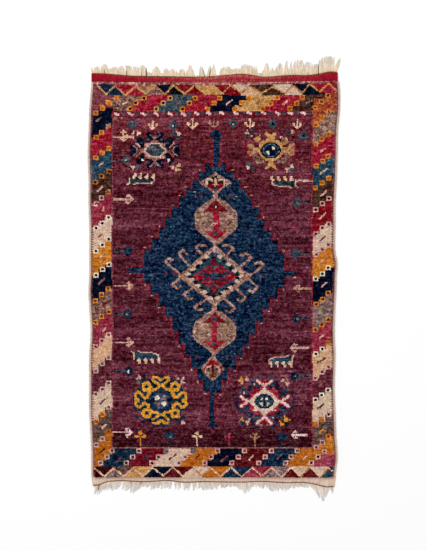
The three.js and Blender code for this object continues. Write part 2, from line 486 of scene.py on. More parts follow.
class RugEnd:
    """One end of the rug: the way it faces, its curves, its corners and its clumps of fringe."""

    def __init__(self, name, sign, waves, left, right, corner_inset, clumps, wild, fingered, tones):
        self.name = name
        self.sign = sign
        self.seam = smooth_curve(waves, "across", "seam")
        self.rim = smooth_curve(waves, "across", "rim")
        self.left = left
        self.right = right
        self.corner_inset = corner_inset
        self.clumps = clumps
        self.wild = wild
        self.fingered = fingered
        self.root_tone, self.tip_tone = tones

    def across(self, share, outward):
        """The place across of a share of the end's width, at a share of the way out to its rim."""
        inset = self.corner_inset * outward
        return self.left + inset + share * (self.right - self.left - 2 * inset)


# The warps' own colour, and what it has turned to at the roots and at the tips of each fringe
BARE_WARP = (232, 217, 195)
FAR_TONES = ((226, 190, 136), (234, 219, 198))
NEAR_TONES = ((220, 186, 156), (232, 224, 217))
FAR_END = RugEnd(
    name="top",
    sign=1,
    waves=FAR_WAVES,
    left=END_LEFT,
    right=305.0,
    corner_inset=0.0,
    clumps=FAR_CLUMPS,
    wild=0.05,
    fingered=0.2,
    tones=FAR_TONES,
)
NEAR_END = RugEnd(
    name="bottom",
    sign=-1,
    waves=NEAR_WAVES,
    left=END_LEFT,
    right=300.0,
    corner_inset=3.0,
    clumps=NEAR_CLUMPS,
    wild=0.09,
    fingered=0.5,
    tones=NEAR_TONES,
)

# The curves above are measured from the drawing's origin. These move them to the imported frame.
SHIFT_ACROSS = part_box("kilim_end_top")[0].x - END_LEFT * MM
SHIFT_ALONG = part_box("knotted_body")[0].y - BODY_NEAR_EDGE * MM


def in_frame(x, y, z):
    """Places in millimetres from the drawing's origin, as places in the frame. Heights are in metres."""
    x, y, z = np.broadcast_arrays(x, y, z)
    return np.stack([x * MM + SHIFT_ACROSS, y * MM + SHIFT_ALONG, z], axis=-1)


def body_place(share_across, share_along):
    """Millimetres across and along of a share of the knotted body's width and length."""
    guide = NEAR_SEAM + share_along * (FAR_SEAM - NEAR_SEAM)
    edge = (SELVEDGE_WIDTH + GAP) / MM
    left = edge - left_side(guide)
    right = right_side(guide) - edge
    x = left + share_across * (right - left)
    near = NEAR_END.seam(x) + GAP / MM / 2
    far = FAR_END.seam(x) - GAP / MM / 2
    return x, near + share_along * (far - near)


# The drawing reaches past both sides of the rug, and the long borders run from the top one to the bottom one
ALL_ACROSS = (80, 345)
LONG_BORDERS = (95, 448)

# The three lanes of each border, across or down, and the middle of the squares in the lanes by the selvedges
LANES = {
    "left": {"outer": (80, 98.8), "middle": (98.8, 105.2), "inner": (105.2, 112)},
    "right": {"inner": (312.6, 319.2), "middle": (319.2, 325.4), "outer": (325.4, 345)},
    "top": {"upper": (94.5, 100), "middle": (100, 105.4), "lower": (105.4, 111)},
    "bottom": {"upper": (448, 453.7), "middle": (453.7, 459.6), "lower": (459.6, 466)},
}
SIDE_SQUARES = {("left", "outer"): 95.8, ("right", "outer"): 328.6}

# The distance from one knot to the next on the drawing
KNOT_ACROSS = 1.28
KNOT_DOWN = 1.21

# The borders' runs. Each is three boxed squares set stepwise, one in each lane, and the block after it.
TOP_BORDER = table("""
upper middle lower box    dot    after
116.5 109.5  103   orange gold   taupe
144   136    130   orange black  crimson
170   163    156   sand   black  slate
195.5 189    182.5 orange black  crimson
220   214    208   orange gold   navy
249   242    235   orange gold   sand
277   270    263   orange henna  crimson
302.5 296.5  290.5 orange henna  brown
328.5 322    315.5 orange brown  rust
""")
BOTTOM_BORDER = table("""
upper middle lower box    dot     after
112.5 107    101   blush  slate   petrol
139   132.5  126   blush  black   claret
165.5 159    152.5 blush  black   cream
192.5 185.5  179.5 blush  slate   gold
217   211    205   blush  crimson navy
245   238    231.5 blush  crimson garnet
271.5 265.5  258.5 blush  crimson petrol
297.5 291.5  285.5 blush  plum    gold
324.5 317.5  311.5 blush  black   berry
""")
LEFT_BORDER = table("""
inner middle outer box    dot    after
102   106.5  112   orange gold   navy
125.5 131.5  136.5 orange henna  crimson
147.5 152.5  157.5 orange gold   teal
170.5 176    181.5 gold   black  brown
192   197.5  203.5 blush  brown  magenta
217   222.5  228   ivory  black  cream
239   245    250   ivory  black  saffron
263.5 269    274.5 ivory  black  navy
288.5 294.5  300   orange brown  taupe
311.5 316.5  322.5 orange brown  magenta
334   340    346   blush  garnet straw
357.5 363    370   blush  slate  plum
382   388    393.5 blush  slate  cream
407   414    421   orange rust   mouse
431.5 438    444   blush  slate  gold
""")
RIGHT_BORDER = table("""
inner middle outer box    dot    after
124   118.5  112.5 orange henna  drab
143.7 138.3  133.3 orange henna  crimson
165.3 160    155.7 orange henna  teal
187.7 182.5  178   orange gold   brown
209   203.5  198.3 blush  black  scarlet
233.5 227.8  223   blush  brown  cream
254.5 249.5  244.3 blush  brown  saffron
278   272.8  267.3 ivory  black  navy
304   298.5  292.8 orange brown  stone
329.3 324    319   orange brown  magenta
353.5 348    342.5 ivory  black  straw
377.5 371.5  367   blush  plum   plum
399.5 394.5  390   ivory  black  cream
424   418.5  413.5 blush  black  mouse
446.5 441.5  435.5 blush  plum   saffron
""")

# Each border's side, its runs and the wool before its first run
BORDERS = (
    ("left", LEFT_BORDER, "mauve"),
    ("right", RIGHT_BORDER, "rust"),
    ("top", TOP_BORDER, "mauve"),
    ("bottom", BOTTOM_BORDER, "gold"),
)

# Blocks at the corners, where two borders meet
CORNER_BLOCKS = table("""
left  right upper lower wool
98.5  112.5 108   126   navy
105   112.5 103   108   plum
325.4 345   448   454   gold
319   345   456   466.5 berry
314   345   98.5  111   rust
""")

# Squares of the borders that are tied in other colours than the rest of their run
ODD_BOXES = table("""
across down  box    dot
108.5  192   tan    henna
108.5  407   blush  brown
321.5  418.5 gold   gold
315.5  424   gold   gold
328.5  435.5 orange scarlet
328    342.5 gold   camel
108.5  431.5 gold   mouse
165.5  450   stone  slate
192.5  450.5 slate  stone
108.5  125.5 tan    tan
""")

# Short slanting strokes inside the blocks
SLASH_WIDTH = 1.6
SLASHES = table("""
u0    v0    u1    v1    wool
95.5  121   102   116.5 stone
99.5  165   103   162   blush
97.5  190.5 102.5 186.5 blush
103   210.5 104   206.5 blush
98.5  236.5 102   233   henna
100   257.5 103   253.5 blush
98.5  283.5 104.5 278.5 rose
102.5 305.5 106.5 302   scarlet
102.5 331   105.5 327.5 cream
101.5 378   106   374   rose
100.5 403   107   397.5 mouse
102.5 427.5 106   424   blush
101   452   104.5 448.5 black
321   151   325   148   blush
320   173.5 327   168   cream
321   195.5 326   190.5 blush
319.6 218.4 325.8 212.2 blush
320   240   325.8 236   brown
320.5 261.5 325   257.5 blush
321   286.5 326   282   blush
319.5 337.5 324   334   blush
318   362   325   358   brown
318   385.5 325   381   rose
318   408   324.5 403   brown
320   432   324   428.5 orange
123.5 103.5 128   101   blush
177   103.5 180   101   rose
203   103.5 206   99.5  slate
226.5 103.5 232   99.5  blush
256   103.5 260   100.5 rose
283.5 104   287   100.5 blush
306   103   312   100.5 stone
117   461.5 122   456.5 mauve
144   458.5 149   454.5 teal
169.5 459   175.5 454   garnet
195.5 458   200.5 453   plum
220.5 461   227   455.5 mauve
249.5 459   253.5 455   blush
277   458.5 281   455   rose
303   459   306.5 456   blush
""")

# The zigzag guards: across and down of each corner of the line, and the triangle on that corner's open side
TOP_ZIGZAG = table("""
across down triangle
92    93.5 plum
97    84.5 mauve
106   94   petrol
115   85.5 petrol
125.5 95   crimson
136   86   crimson
145.5 93.5 tan
155.5 85   taupe
165   94   navy
173   84.5 black
185   93.5 scarlet
194   84.5 scarlet
204.5 93   sand
212   84   sand
222.5 93   scarlet
231   84.5 scarlet
241   92.5 cream
250   85.5 straw
262   92.5 brown
273   86   brown
285   93   cream
293   85   cream
302.5 92.5 navy
309.5 84   navy
320   92.5 crimson
329   84.5 crimson
335   91   crimson
""")
BOTTOM_ZIGZAG = table("""
across down triangle
93    466.5 oxblood
104.5 476  oxblood
113.5 468  stone
123.5 475.5 mouse
133   467.5 sand
143.5 476  sand
152.5 467  navy
163.5 475.5 navy
173   466.5 garnet
182.5 475.5 garnet
193   467.5 cream
202   475.5 cream
211   467.5 gold
221   476  gold
231   466.5 petrol
241.5 476.5 petrol
252   467  berry
262   475.5 magenta
271.5 467  stone
281.5 476.5 stone
291   467  garnet
300.5 476.5 cream
310.5 466.5 garnet
320   477  cream
329   467.5 teal
336   474  teal
""")

# Each guard of triangles: its corners, its upper and lower edge, and its line's width and wool
GUARDS = (
    (TOP_ZIGZAG, 84, 94.6, 1.5, "sand"),
    (BOTTOM_ZIGZAG, 466.3, 477.4, 1.3, "peach"),
)
# The line beside a pale triangle is in a darker wool, or it would be lost
LINE_WOOLS = {"cream": "bronze", "straw": "bronze", "plum": "rose"}

# What lies under the guards, outside the triangles of the top and bottom ones
GUARD_BLOCKS = table("""
left right upper lower wool
80   345   60    94.6  rosewood
80   345   466   500   garnet
112  312   110.6 116.8 madder
112  126   116.8 118   rose
""")

# Beads of the guard between the far border and the field, which shifts up a little from one place on
BEADS = {
    "blue_bead": (123.6, 137, 149.5, 163, 177, 189.7, 202.7, 215.4, 229, 243, 257.5, 270.5, 284, 297.5, 309),
    "pale_bead": (
        *(116.2, 130.5, 143.5, 156.5, 170.3, 183.4, 196.4, 208.7),
        *(221.7, 235.9, 249.4, 264, 277.5, 290.5, 303.5),
    ),
}
BEADS_SHIFT = 195
BEADS_BEFORE = 113.4
BEADS_AFTER = 112.6

# The field's uneven dye, from -1, plum, over 0 to 1, mauve. Two broad turns are given: it is redder towards the far
# end, and plum beside the near border. The bands between are seeded, and aren't the photograph's own.
FIELD_REDDER = ((110, 210), (0.6, 0))
FIELD_DARKER = ((425, 450), (0, -1))
BANDS_SEED = 11
BANDS = (0.16, 12, 120)
# Fine streaks along the rows: their strength, and how many knots they reach down and across, as for the bands
STREAKS = ((0.14, 1, 26), (0.10, 2, 60))
FIELD_PLUM = (50, 11, 16)
FIELD_MAUVE = (150, 86, 102)
FIELD_RED = (113, 34, 38)

# The medallion: where each step of its sides turns, going down the drawing
MEDALLION_LEFT = table("""
across down
206    162.5
199.3  170.4
192.3  178.3
185.5  187
179    195.4
172    205
165.5  215.2
158.5  226.2
151    236.3
144.2  247.3
129    266.5
144.2  272.5
151.2  284.2
158.2  294.7
165.5  306.6
172    318.1
178.5  332
184.5  344.5
191    357
197    368.5
204    380.8
209.5  392.6
209.5  424
""")
MEDALLION_RIGHT = table("""
across down
226.5  162.3
233.5  170.4
240    178.1
246    187.2
252    195.4
258.5  206
264.5  217.6
270.5  228.8
278    238.8
284.3  251.2
296.3  269.5
284.3  275.6
277.5  288.5
270    298.6
262.5  310
255.5  322
249    335
242.5  346.4
235.5  357.4
228.3  369.3
221.5  381
214.6  393.3
214.6  424
""")
# Its middle across, how far down it is widest, the width of its outline, how far a tooth slants, how wide the
# steps with a tooth are, and where a step's dot lies from its corner above and below the widest place
MEDALLION_CENTRE = 214.5
MEDALLION_WIDEST = 266
MEDALLION_EDGE = 3.6
SAW_TOOTH = 1.9
TOOTHED_STEPS = (0.5, 10)
DOT_ABOVE = (0.6, -0.6)
DOT_BELOW = (1.0, 0.8)
# Its points at the top, out and back, and at the bottom
MEDALLION_HEAD = ((215.4, 127.8), (208.3, 135.3), (208.9, 136.6), (213.6, 136.6), (213.2, 162.5))
MEDALLION_HEAD_BACK = ((219.4, 162.3), (219.7, 136.6), (224, 136.8), (224.5, 135.3))
MEDALLION_FOOT = ((206.3, 424), (213, 430), (219.8, 424.6))

# The middle of the middle diamond, and how far in from its flecks the dark dots between them lie
DIAMOND_MIDDLE = (214.6, 275.6)
DOTS_INWARD = 0.93
# Cream flecks inside the middle diamond's outline
FLECKS = table("""
across down
206.5 256
200   262
193   268.8
187.5 273.6
191.5 279
198   285
204.5 291.5
210.5 298
217.5 297.5
224   292
230.5 287
237   281
241   275.5
235   270.3
228.5 264
220   256
""")

# How far the rows near the far right corner have crept up, and from where to where that grows, across and
# towards the far end
FAR_RIGHT_RISE = 1.8
RISE_ACROSS = (303, 328)
RISE_DOWN = (113, 125)

# Little triangles scattered round the rosettes: across, down, half a side, the way they point, and wool
TRIANGLES = table("""
across down half points wool
133.2 132   2.0 up     petal
139.5 132.2 2.4 left   peach
132.8 137.2 1.7 down   peach
174   132.7 2.3 round  slate
179   132.7 3.0 right  cream
178.5 137.8 2.2 round  slate
132.5 167.5 2.9 down   cream
137.5 167.5 2.0 round  slate
172.4 168.0 2.4 down   straw
178.5 164.0 2.6 up     straw
178.2 168.8 2.4 left   straw
247   131   2.3 up     straw
252.5 131   2.2 round  teal
248   135.5 1.9 round  indigo
252   135.5 1.2 round  blush
260   135.3 1.2 round  blush
281   136.5 1.2 round  blush
288   132   2.0 round  teal
292.5 131.5 1.7 round  tan
293   137   1.7 round  black
248   167.7 2.5 down   blush
253   168.5 2.3 round  slate
248.5 163.2 2.2 round  slate
291.5 165.2 2.6 up     cream
286.5 169.6 2.6 down   straw
291.5 169.8 2.3 round  slate
300.7 161.2 1.2 up     orange
138.6 376   2.6 up     blush
144   375.7 2.2 round  petrol
138.5 380.5 2.1 round  slate
178   377.3 2.1 right  blush
183   377   2.3 up     blush
183.3 381.6 2.2 left   blush
137.5 417   2.2 round  petrol
143.5 421   2.1 round  petrol
139   421.5 1.8 round  magenta
183   416.8 2.1 round  petrol
178.5 421   2.1 round  petrol
183.5 421.8 2.5 right  blush
240.8 378   3.0 up     amber
246.3 378   2.5 up     blush
241.6 382.8 2.5 down   blush
282.4 379.3 2.6 up     blush
287.7 379.5 2.4 left   tan
287   384   2.6 down   blush
241.6 418.3 2.5 up     sand
249.8 418.8 1.4 round  blush
242   422.5 2.1 round  petrol
247   422.3 2.6 down   cream
287.6 418.8 3.1 left   amber
282.3 423.0 3.0 right  amber
287   424   2.0 round  indigo
""")

# Figures, drawn in pixels of the drawing, round their own middle or, where they are placed at 0 0, where
# they lie. Each line names a wool, a shape, how it is mirrored and its points. The shape is fill, oval,
# lozenge or the width of a stroke, the last point of an oval or lozenge is half its size, x mirrors it across
# and y down. "main" and "eye" are wools that each place of the figure chooses.
FIGURES = figures_from("""
up
main    fill -  -1,1 1,1 0.3,-1

down
main    fill -  -1,-1 1,-1 0.3,1

left
main    fill -  -1,-1 -1,1 1,0.3

right
main    fill -  -1,-1 1,0.3 -0.6,1

round
main    oval -  0,0 1,1

step_dot
clay    oval -  0,0 0.9,0.9

dark_dot
black   oval -  0,0 2.3,1.6

pale_fleck
cream   lozenge - 0,0 3.3,2.2

blue_bead
slate   oval -  0,0.2 1.9,1.9

pale_bead
petal   2.7  -  -1.4,-0.6 1.4,0.8

field_edges
mauve   1.3  -  112.6,116 112.6,447
magenta 1.3  -  312,118 312,447
rose    1.4  -  113,447.2 312,447.2

field_marks
blush   1.7  -  296,181.4 299.3,179.8 312,180.7
magenta oval -  294,226.2 2.2,1.6
rose    1.3  -  113.8,118.2 118.5,119.3

medallion_specks
madder  2.2  -  212,162.5 212,165.8
madder  2.2  -  219.5,162.5 219.5,165.8
stone   oval -  195,191 1,1
stone   oval -  195.5,195.5 1,1
stone   oval -  236,195.5 1,1
stone   oval -  235,198.5 1,1
stone   oval -  234.5,353 1,1
plum    oval -  201.3,195 1.5,1.5
plum    oval -  229.3,195.5 1.5,1.5
plum    oval -  197,357 1.5,1.5
plum    oval -  227.5,357 1.5,1.5
plum    oval -  165.5,273 1.5,1.5
plum    oval -  262.5,276.5 1.5,1.5
crimson oval -  176,272.5 2,1.6

medallion_marks
blush   1.6  -  212.9,222 214.8,223.3 217,222.2
cream   oval -  194.6,331.5 1.2,1.9
straw   oval -  235.2,333 1.4,2
fawn    4.4  -  214.3,302.5 214.3,309
fawn    3.6  -  213,353.5 213,357.5

hooks
fawn    2.3  -  204,256 195.3,247.3 199,244.2 207,245.6
fawn    2.3  -  189,265 179.6,254.5 180,251 183.5,249.8 186.5,253.5
fawn    2.3  -  180,273.5 165.2,261.2 168,258 172.3,259.8
fawn    2.3  -  226,255 233.7,248.2 228,244.6 222.5,244.6
fawn    2.3  -  239,267 251,257.5 246.5,252.5 240.8,255.3
fawn    2.3  -  249,276 264.3,264.2 260,261.3 255,263.2
fawn    2.3  -  182,276 172.2,284 177.4,288.4 180.5,286
fawn    2.3  -  194,286 183.6,294.2 189,298.6 192,297.5
fawn    2.3  -  206,299 194.4,306.4 199,309.6 202,308.5
fawn    2.3  -  248,278 258,287 252.2,291.6 248.8,289.2
fawn    2.3  -  236,288 246,297 240.4,301.2 237.4,298.6
fawn    2.3  -  224,298 235.3,308 230.2,311.4 226.2,309.6

trident
main    1.8  -  0,-4.6 0,3.6
main    lozenge x 3.9,-0.2 2,1.9
main    1.5  x  0,3.4 2.6,2.2 4.2,0.6
main    fill x  0,4.9 2.4,3 0,2.2
eye     lozenge x 1.7,1.2 0.8,0.8

flower
main    oval -  0,-3.2 1.7,2.4
main    oval x  3.2,0.2 2.2,2
main    oval -  0,2.8 2.4,2
petrol  oval -  0,0.2 1.7,1.6
eye     oval -  0.2,1.0 1,1

cross
main    1.5  -  -9.2,0.2 7,0.2
main    1.6  -  0,-6.4 0,4
main    1.4  x  0,-5.4 2.6,-3.8
main    1.5  x  0,3.9 3.2,2.2
main    1.3  -  3.7,-2 3.7,0

arrow
main    1.7  -  -14.5,0 2,0
main    fill y  5,0 2.4,-2.2 -0.4,-5.2 -3.4,-3.2 -1.6,-1.4 -1.4,0
eye     oval y  -0.2,-1.7 0.9,0.8

bud
slate   2.2  -  -14,0 -3,0
black   1.6  -  -13,-0.2 -10,-0.2
main    oval -  0,0 4.1,4.7
eye     oval -  -0.6,0.1 1.2,1.3

tree
main    lozenge -  0,-4.9 2.6,2.6
main    oval x  3.6,-1.5 2.3,1.7
eye     oval -  0,-2 1.1,1
main    1.9  -  0,-1 0,7.4

bush
main    oval -  0,-2.8 3.8,3.2
main    oval x  3.6,-0.4 2.4,2
eye     oval -  0,0 1.3,1.3
petrol  2.0  -  0,1.8 0,8.4

twig
main    1.4  -  0,-5 0,8
main    1.3  x  0,1.4 2.6,-0.6 4.8,-1.8
main    1.3  x  0,-2 1.8,-4 2.6,-5.4

comb
main    fill -  -12,-2.8 11.2,-2.8 11.4,-0.4 10,1.8 -6,2.6 -8,3.6 -11.6,3.6
cream   1.3  -  -12.9,-2.6 -12.9,2.8 -15,3.7
blush   1.2  -  -8.6,3.9 -6,3.2 8.8,2.4 11.2,0.8 12.1,-1.6

tooth
peach   fill -  -0.9,0 0.8,0 0.8,4.2 -0.6,5.4 -1.8,5.2 -3.2,3.9 -1.9,2.4

dark_rosette
navy    fill xy 0,-12.3 1.6,-16.7 6.4,-18.6 8.8,-17 8.1,-13 10.2,-8 7,-8.2 2.2,-10
navy    fill xy 10.6,-11.5 15.6,-14.4 19.2,-11.6 18.3,-8 13.5,-2.4 10.4,-2.8 10.8,-7.5
navy    fill xy 14.6,0 17.2,-1 16.5,-3.2 22.5,-6.8 25,-5 24.6,0
slate   oval x  6.4,-11 1.6,1.2
slate   oval x  13,-7.4 1.4,1.4
plum    oval x  7,11.4 1.6,1.3
rosewood fill xy 0,0 0,-11.6 4.9,-7.7 10.4,-7.7 10.4,-3 15.4,0
cream   fill xy 0,0 0,-7.3 4.4,-7.3 8.6,-3.9 11.7,0
slate   fill xy 0,0 0,-6 4.2,-5.9 9.9,0
garnet  oval -  1.7,-2.8 1.5,1.2
garnet  oval -  -3.6,1.2 1.7,1.2
camel   oval -  -3.3,-3.2 1.4,1.1
stone   1.4  xy 0,-11.8 4.9,-16
stone   1.4  xy 17.5,0 18.8,-3.2 22.5,-5
blush   1.5  x  15,-3.8 19,-7.6
rust    1.8  x  14.2,2 18.6,6.2
ivory   oval -  13.4,9.8 1.5,1.6
ivory   oval -  -12.8,9.6 1.2,1.2
stone   oval -  -15.6,7.3 1,1

tan_rosette
crimson fill x  18,-7.6 24.4,-7.4 25,4 22.4,7 17.6,6
taupe   fill x  5,12.8 9,7.6 14.5,5.8 17,8.4 14,13.6 7,14.4
plum    oval -  6.5,-14.4 2.7,3.3
sand    oval -  -13.6,-11.2 3.2,2.5
tan     oval -  13.4,-9.4 3.4,4
tan     fill x  12,-3 15.5,-3 19.6,-7.2 23.8,-6.4 22.6,-2 23.6,4.6 20.3,6 15.4,2.6 12,2.4
camel   1.3  x  15,-0.4 19,-0.4 23,-4
sand    fill x  0,0 0,-15.6 4.4,-18.6 6.2,-16.6 3,-11.5 8,-9.6 11.4,-7.8 12,-3.4 16.6,-1.6 16.6,0
sand    fill x  0,0 16.6,0 15.4,1.8 12.2,2.4 10,5.8 7.4,9.2 2.6,10.8 2,12.8 6.2,17.8 4.4,19 0,16
sand    1.4  x  16,-0.6 20.4,-5
sand    1.4  x  16,0 21,4
navy    fill xy 0,0.4 0,-8.4 4.2,-8.2 8.2,-4.8 11.1,0.4
steel   fill xy 0,-0.4 0,-6.7 3.8,-6.3 6.8,-3.6 9,-0.4
navy    fill xy 0,-0.4 0,-5.4 3,-4.9 5.2,-3 7.2,-0.4
ivory   fill -  0.8,-4.6 2.4,-4.6 4.4,-0.8 0.8,-0.8
ivory   fill -  -5.4,0.4 -1,0.8 -1,3.4 -2.6,3.8
rose    1.6  x  -13.6,2.8 -18,6.6
stone   oval -  9.3,13 1.1,1

amber_rosette
petrol  fill x  0,0 0,-25.8 6,-25.8 10.4,-21.2 18.8,-19.8 21.2,-11.4 26.2,-8.6 28,-1 28,0
petrol  fill x  0,0 28,0 28,8.2 24.2,11.4 20,11.4 19,18.4 11.8,20.4 8.8,26 0,26.6
dusk    oval -  0,0.6 8.4,8.2
amber   oval xy 14.2,-13.4 5.1,5.4
petrol  oval xy 14.2,-13.3 2.1,1.8
amber   3.6  x  11.3,-11 11.3,-7.6 14,-2.8
amber   3.6  x  12.6,5.4 12,9.6
amber   2.6  x  0.8,-15 5,-10.8 10,-9.8
amber   2.6  x  1,14.6 4.2,12.4 9.6,11.4
amber   2.6  x  15.6,-1.8 19,-5 22.6,-8 25.2,-6.4 25.6,4.6 22.4,7.6 19.4,6.2 15.8,2.6 12.2,6
amber   fill x  20.8,-0.6 25,-4.4 25,3.6 21.2,2.2
amber   2.4  x  1,14.6 4.4,16.8 7.8,19.4
amber   fill x  0,19.2 4,21.2 9.4,21.6 7.6,24.6 2.6,24.4 0,22
amber   2.5  x  0,-20.7 1.6,-21 4.2,-23.3 7,-23 8.8,-20.4 4,-16.7 0.9,-15
navy    oval x  7.6,0 1.6,2.4
ivory   oval -  -3.5,-2.2 2.7,2.3
stone   oval -  2.6,-2.2 2.6,2.3
stone   oval -  -2.8,3.4 2.6,2.3
ivory   oval -  3.4,3.4 2.8,2.5

cream_rosette
crimson fill xy 0,0 0,-17.6 3.4,-14.6 9.4,-12.4 14.4,-8.4 17.6,-3.4 20,0
magenta 4.4  xy 0,-15.2 7.4,-21.2
magenta 4.2  xy 16.6,0 24,-5
crimson fill x  0,-17 3.6,-20.4 0,-20.8
crimson fill x  18.6,0 22,-2.2 22,2.2
crimson fill x  0,17.4 3.4,21 0,21.4
petrol  3.7  xy 6,-14.4 11.6,-19
teal    1.5  xy 6.8,-15.4 10.6,-18.6
petrol  3.7  xy 15.8,-5.6 20.8,-9.4
teal    1.5  xy 17,-6.6 20,-9
indigo  oval xy 14.6,-13.4 2.9,2.7
magenta oval x  17,-15.8 1.2,1.1
petrol  1.8  x  28.2,-8.6 28.4,3.6 26.6,8.8 22.6,9.4
slate   1.7  x  24.6,-10 22,-13 19.4,-14.6
slate   1.7  x  21,13.4 17.6,18.4
slate   1.7  x  3.2,-24.6 8,-24.4 11.6,-21.8
petrol  1.8  x  1.6,25.8 5.4,26 10,24.4 12.6,20.6
rose    1.2  x  2.6,23.4 7.6,23.2
shell   fill xy 0,0 0,-16 2.4,-11.8 5.8,-9.6 9.4,-7.2 12.4,-3.6 17,0
navy    fill xy 0,0 0,-7.6 3.6,-7.1 7.6,-4.6 10.2,0
teal    fill xy 0,0 0,-6.3 3.2,-5.7 6.6,-3.7 8.9,0
ivory   fill x  1.3,-1 5.2,-1 1.5,-4.5
ivory   fill -  -1.6,1.2 -5.8,1.2 -1.8,5.2
straw   fill -  1.6,1.2 5.6,1.2 2,5.4
navy    1.2  -  0,-4 0,4
petal   1.6  x  7.6,8.8 10.8,8.4
petal   2.5  x  0,-15.4 7.2,-20.8
petal   2.5  x  0,15.2 7.2,21.6
petal   2.5  xy 16.8,0 23.8,-5
ivory   oval -  -10,-17.4 1.1,1
ivory   oval -  -20.4,-8.6 1.1,1
ivory   oval -  8.4,16 1.1,1

small_diamond
fawn    fill x  0,-10.4 6,-6.2 17,0 8,5.4 1.6,11 0,11
brown   fill x  0,-7.4 5,-4 11,-0.4 9,1.6 0,1.6
scarlet fill x  0,2.2 10.8,1.6 4,6.6 0,7.4
rose    oval -  0,8.4 2.2,1.4
indigo  lozenge -  -0.2,6.4 2.8,2.2
straw   2.2  -  0,-7.4 0,2.4
cream   2.0  x  8.8,1.4 8.8,-3 3.8,-3 3.6,-1.4
black   oval -  0.4,-5.6 1.3,1
ivory   oval -  2,-5.4 0.9,0.9
black   oval x  6.4,-0.6 1,1.2
fawn    fill x  0,10 2.6,10.6 2.6,13 3.2,14.4 0,14.4

hexagon
fawn    fill x  0,-24 4,-22.6 9.4,-19.6 20.6,-9.6 21.6,-3 21.4,5.4 19,9.4 6,19.6 2.6,23.4 0,25
drab    fill x  0,-22 8.6,-17.8 19.2,-8.6 20.2,-3 20,5 17.8,8.4 5,18.4 0,22
tan     oval x  12,-3.8 4.2,1.2
camel   oval x  8.4,3.6 2,1.6
rose    1.2  x  4.4,8.4 15,7.8
rose    1.2  x  4.4,-0.6 9.4,-1
mouse   oval x  13,2.6 1.6,1.2
scarlet fill x  0,-21.4 5.4,-16 12.4,-9.6 0,-9.6
garnet  fill x  5.4,-13 10,-11 10,-9.8 5.4,-9.8
crimson fill x  0,-11 2.9,-11 2.9,9.6 0,9.6
crimson fill x  0,9.6 12.2,9.6 6,14.8 0,19.6
eye     oval -  0,-14 2.6,2.5
main    oval -  0,-14.2 1.1,1.1
teal    oval -  -0.2,12.8 2.3,2.4
slate   oval -  0,12.6 1.2,1.3

foot_diamond
fawn    fill x  0,-14 2.4,-12.4 12.4,-1 6,6.4 0,12
taupe   fill x  0,-11.6 10.6,-1 5,5.4 0,9.8
scarlet fill x  0,-12 3.4,-8.6 7,-4.4 0,-4.4
crimson 1.3  x  9,2 8,-2 4.6,-4
blush   1.3  x  7,1.4 6.2,-2.2 2,-3.6
slate   oval x  4,-1 1.9,1.5
black   oval -  -4.4,-1.4 1.2,1.1
garnet  1.7  -  0,-4 0,7

middle_diamond
fawn    fill x  0,-31.6 36.5,0 0,30
teal    fill x  0,-26 29,0 0,25
scarlet lozenge -  -0.8,-14 4.2,5
scarlet lozenge -  -5.8,-6 8.4,5.2
crimson lozenge -  6,-6 8.2,5.2
crimson lozenge x  15.6,0.6 7,5
crimson lozenge -  -6.2,6 8.2,5.2
scarlet lozenge -  6.2,6.2 8.2,5.2
garnet  lozenge -  -0.6,14 5.6,5.4
petrol  1.1  x  0,-14.6 2.6,-14.6
petrol  1.1  x  3,-7.2 12,-7.2
petrol  1.1  x  5,-2.6 17,-2.6
petrol  1.1  x  0,3.6 15,3.6
petrol  1.1  x  3,8 10,8
indigo  2.2  -  -7.6,0 7.6,0
slate   oval -  -0.4,-7 1,1.2
slate   oval -  -0.5,7.2 1,1.2
slate   oval x  9,0.2 1.2,0.9
blush   2.0  -  -0.6,-28.4 -0.6,-24
""")

# Where each device of the field is tied: its figure, its middle, its size across and down, negative if it is
# turned over, and its two wools, if it has a choice
DEVICES = table("""
figure  across down  wide  high  main    eye
trident 152.8  124.3 1     1     peach   garnet
trident 192.6  123.6 1     1.15  peach   garnet
trident 213.9  123   1     0.95  clay    garnet
trident 250.1  123   1     1     peach   garnet
trident 297.4  123.7 0.92  1     peach   garnet
flower  132.4  123.8 1     1     slate   stone
flower  173.2  124.3 1     1     slate   ivory
flower  233    122.5 1     1     slate   ivory
flower  273    123.3 1     1     slate   black
flower  304    135.2 1     1     slate   black
cross   123.6  136   1     1     peach   black
arrow   128.8  198.7 1     1     blush   garnet
arrow   129.4  341.8 1     1     blush   garnet
arrow   128    431.5 1     1     petal   black
arrow   129.4  285.4 1     0.8   clay    straw
bud     126.3  159.6 0.95  0.8   slate   ivory
bud     128    250.4 0.95  1.05  petrol  slate
bud     127.8  313.6 1     0.95  petrol  stone
bud     129    371   0.95  1.05  petrol  ivory
bud     297    202   -0.9  1     slate   stone
bud     295.4  252.8 -0.9  1     slate   slate
bud     297    318   -0.95 1     petrol  stone
bud     294.6  375.6 -1.1  0.9   petrol  stone
arrow   293.9  347.4 -1    1     blush   brown
arrow   294.6  434.4 -0.9  0.9   petal   black
arrow   297.4  288   -0.9  0.8   clay    black
tree    140.6  437.2 1     1     orange  black
bush    169.8  436.4 1     1     petrol  stone
tree    197    437.4 0.9   1     peach   plum
tree    229.3  437.6 0.9   0.8   magenta blush
twig    255.2  437.6 1     1     tan     tan
bush    281.6  438   1.1   1     petrol  indigo
dark_rosette  155.1 150   1 1 - -
tan_rosette   270.9 149.9 1 1 - -
amber_rosette 160.9 399.5 1 1 - -
cream_rosette 264.5 401   1 1 - -
""")

# The medallion's figures, placed in the same way
MEDALLION_FIGURES = table("""
figure          across down  wide high main  eye
small_diamond   215.4  182   1    1    -     -
hexagon         216    220.5 1    1    ivory black
hexagon         214.6  331.6 1    0.93 teal  slate
foot_diamond    212.8  369.3 1    1    -     -
medallion_marks 0      0     1    1    -     -
""")

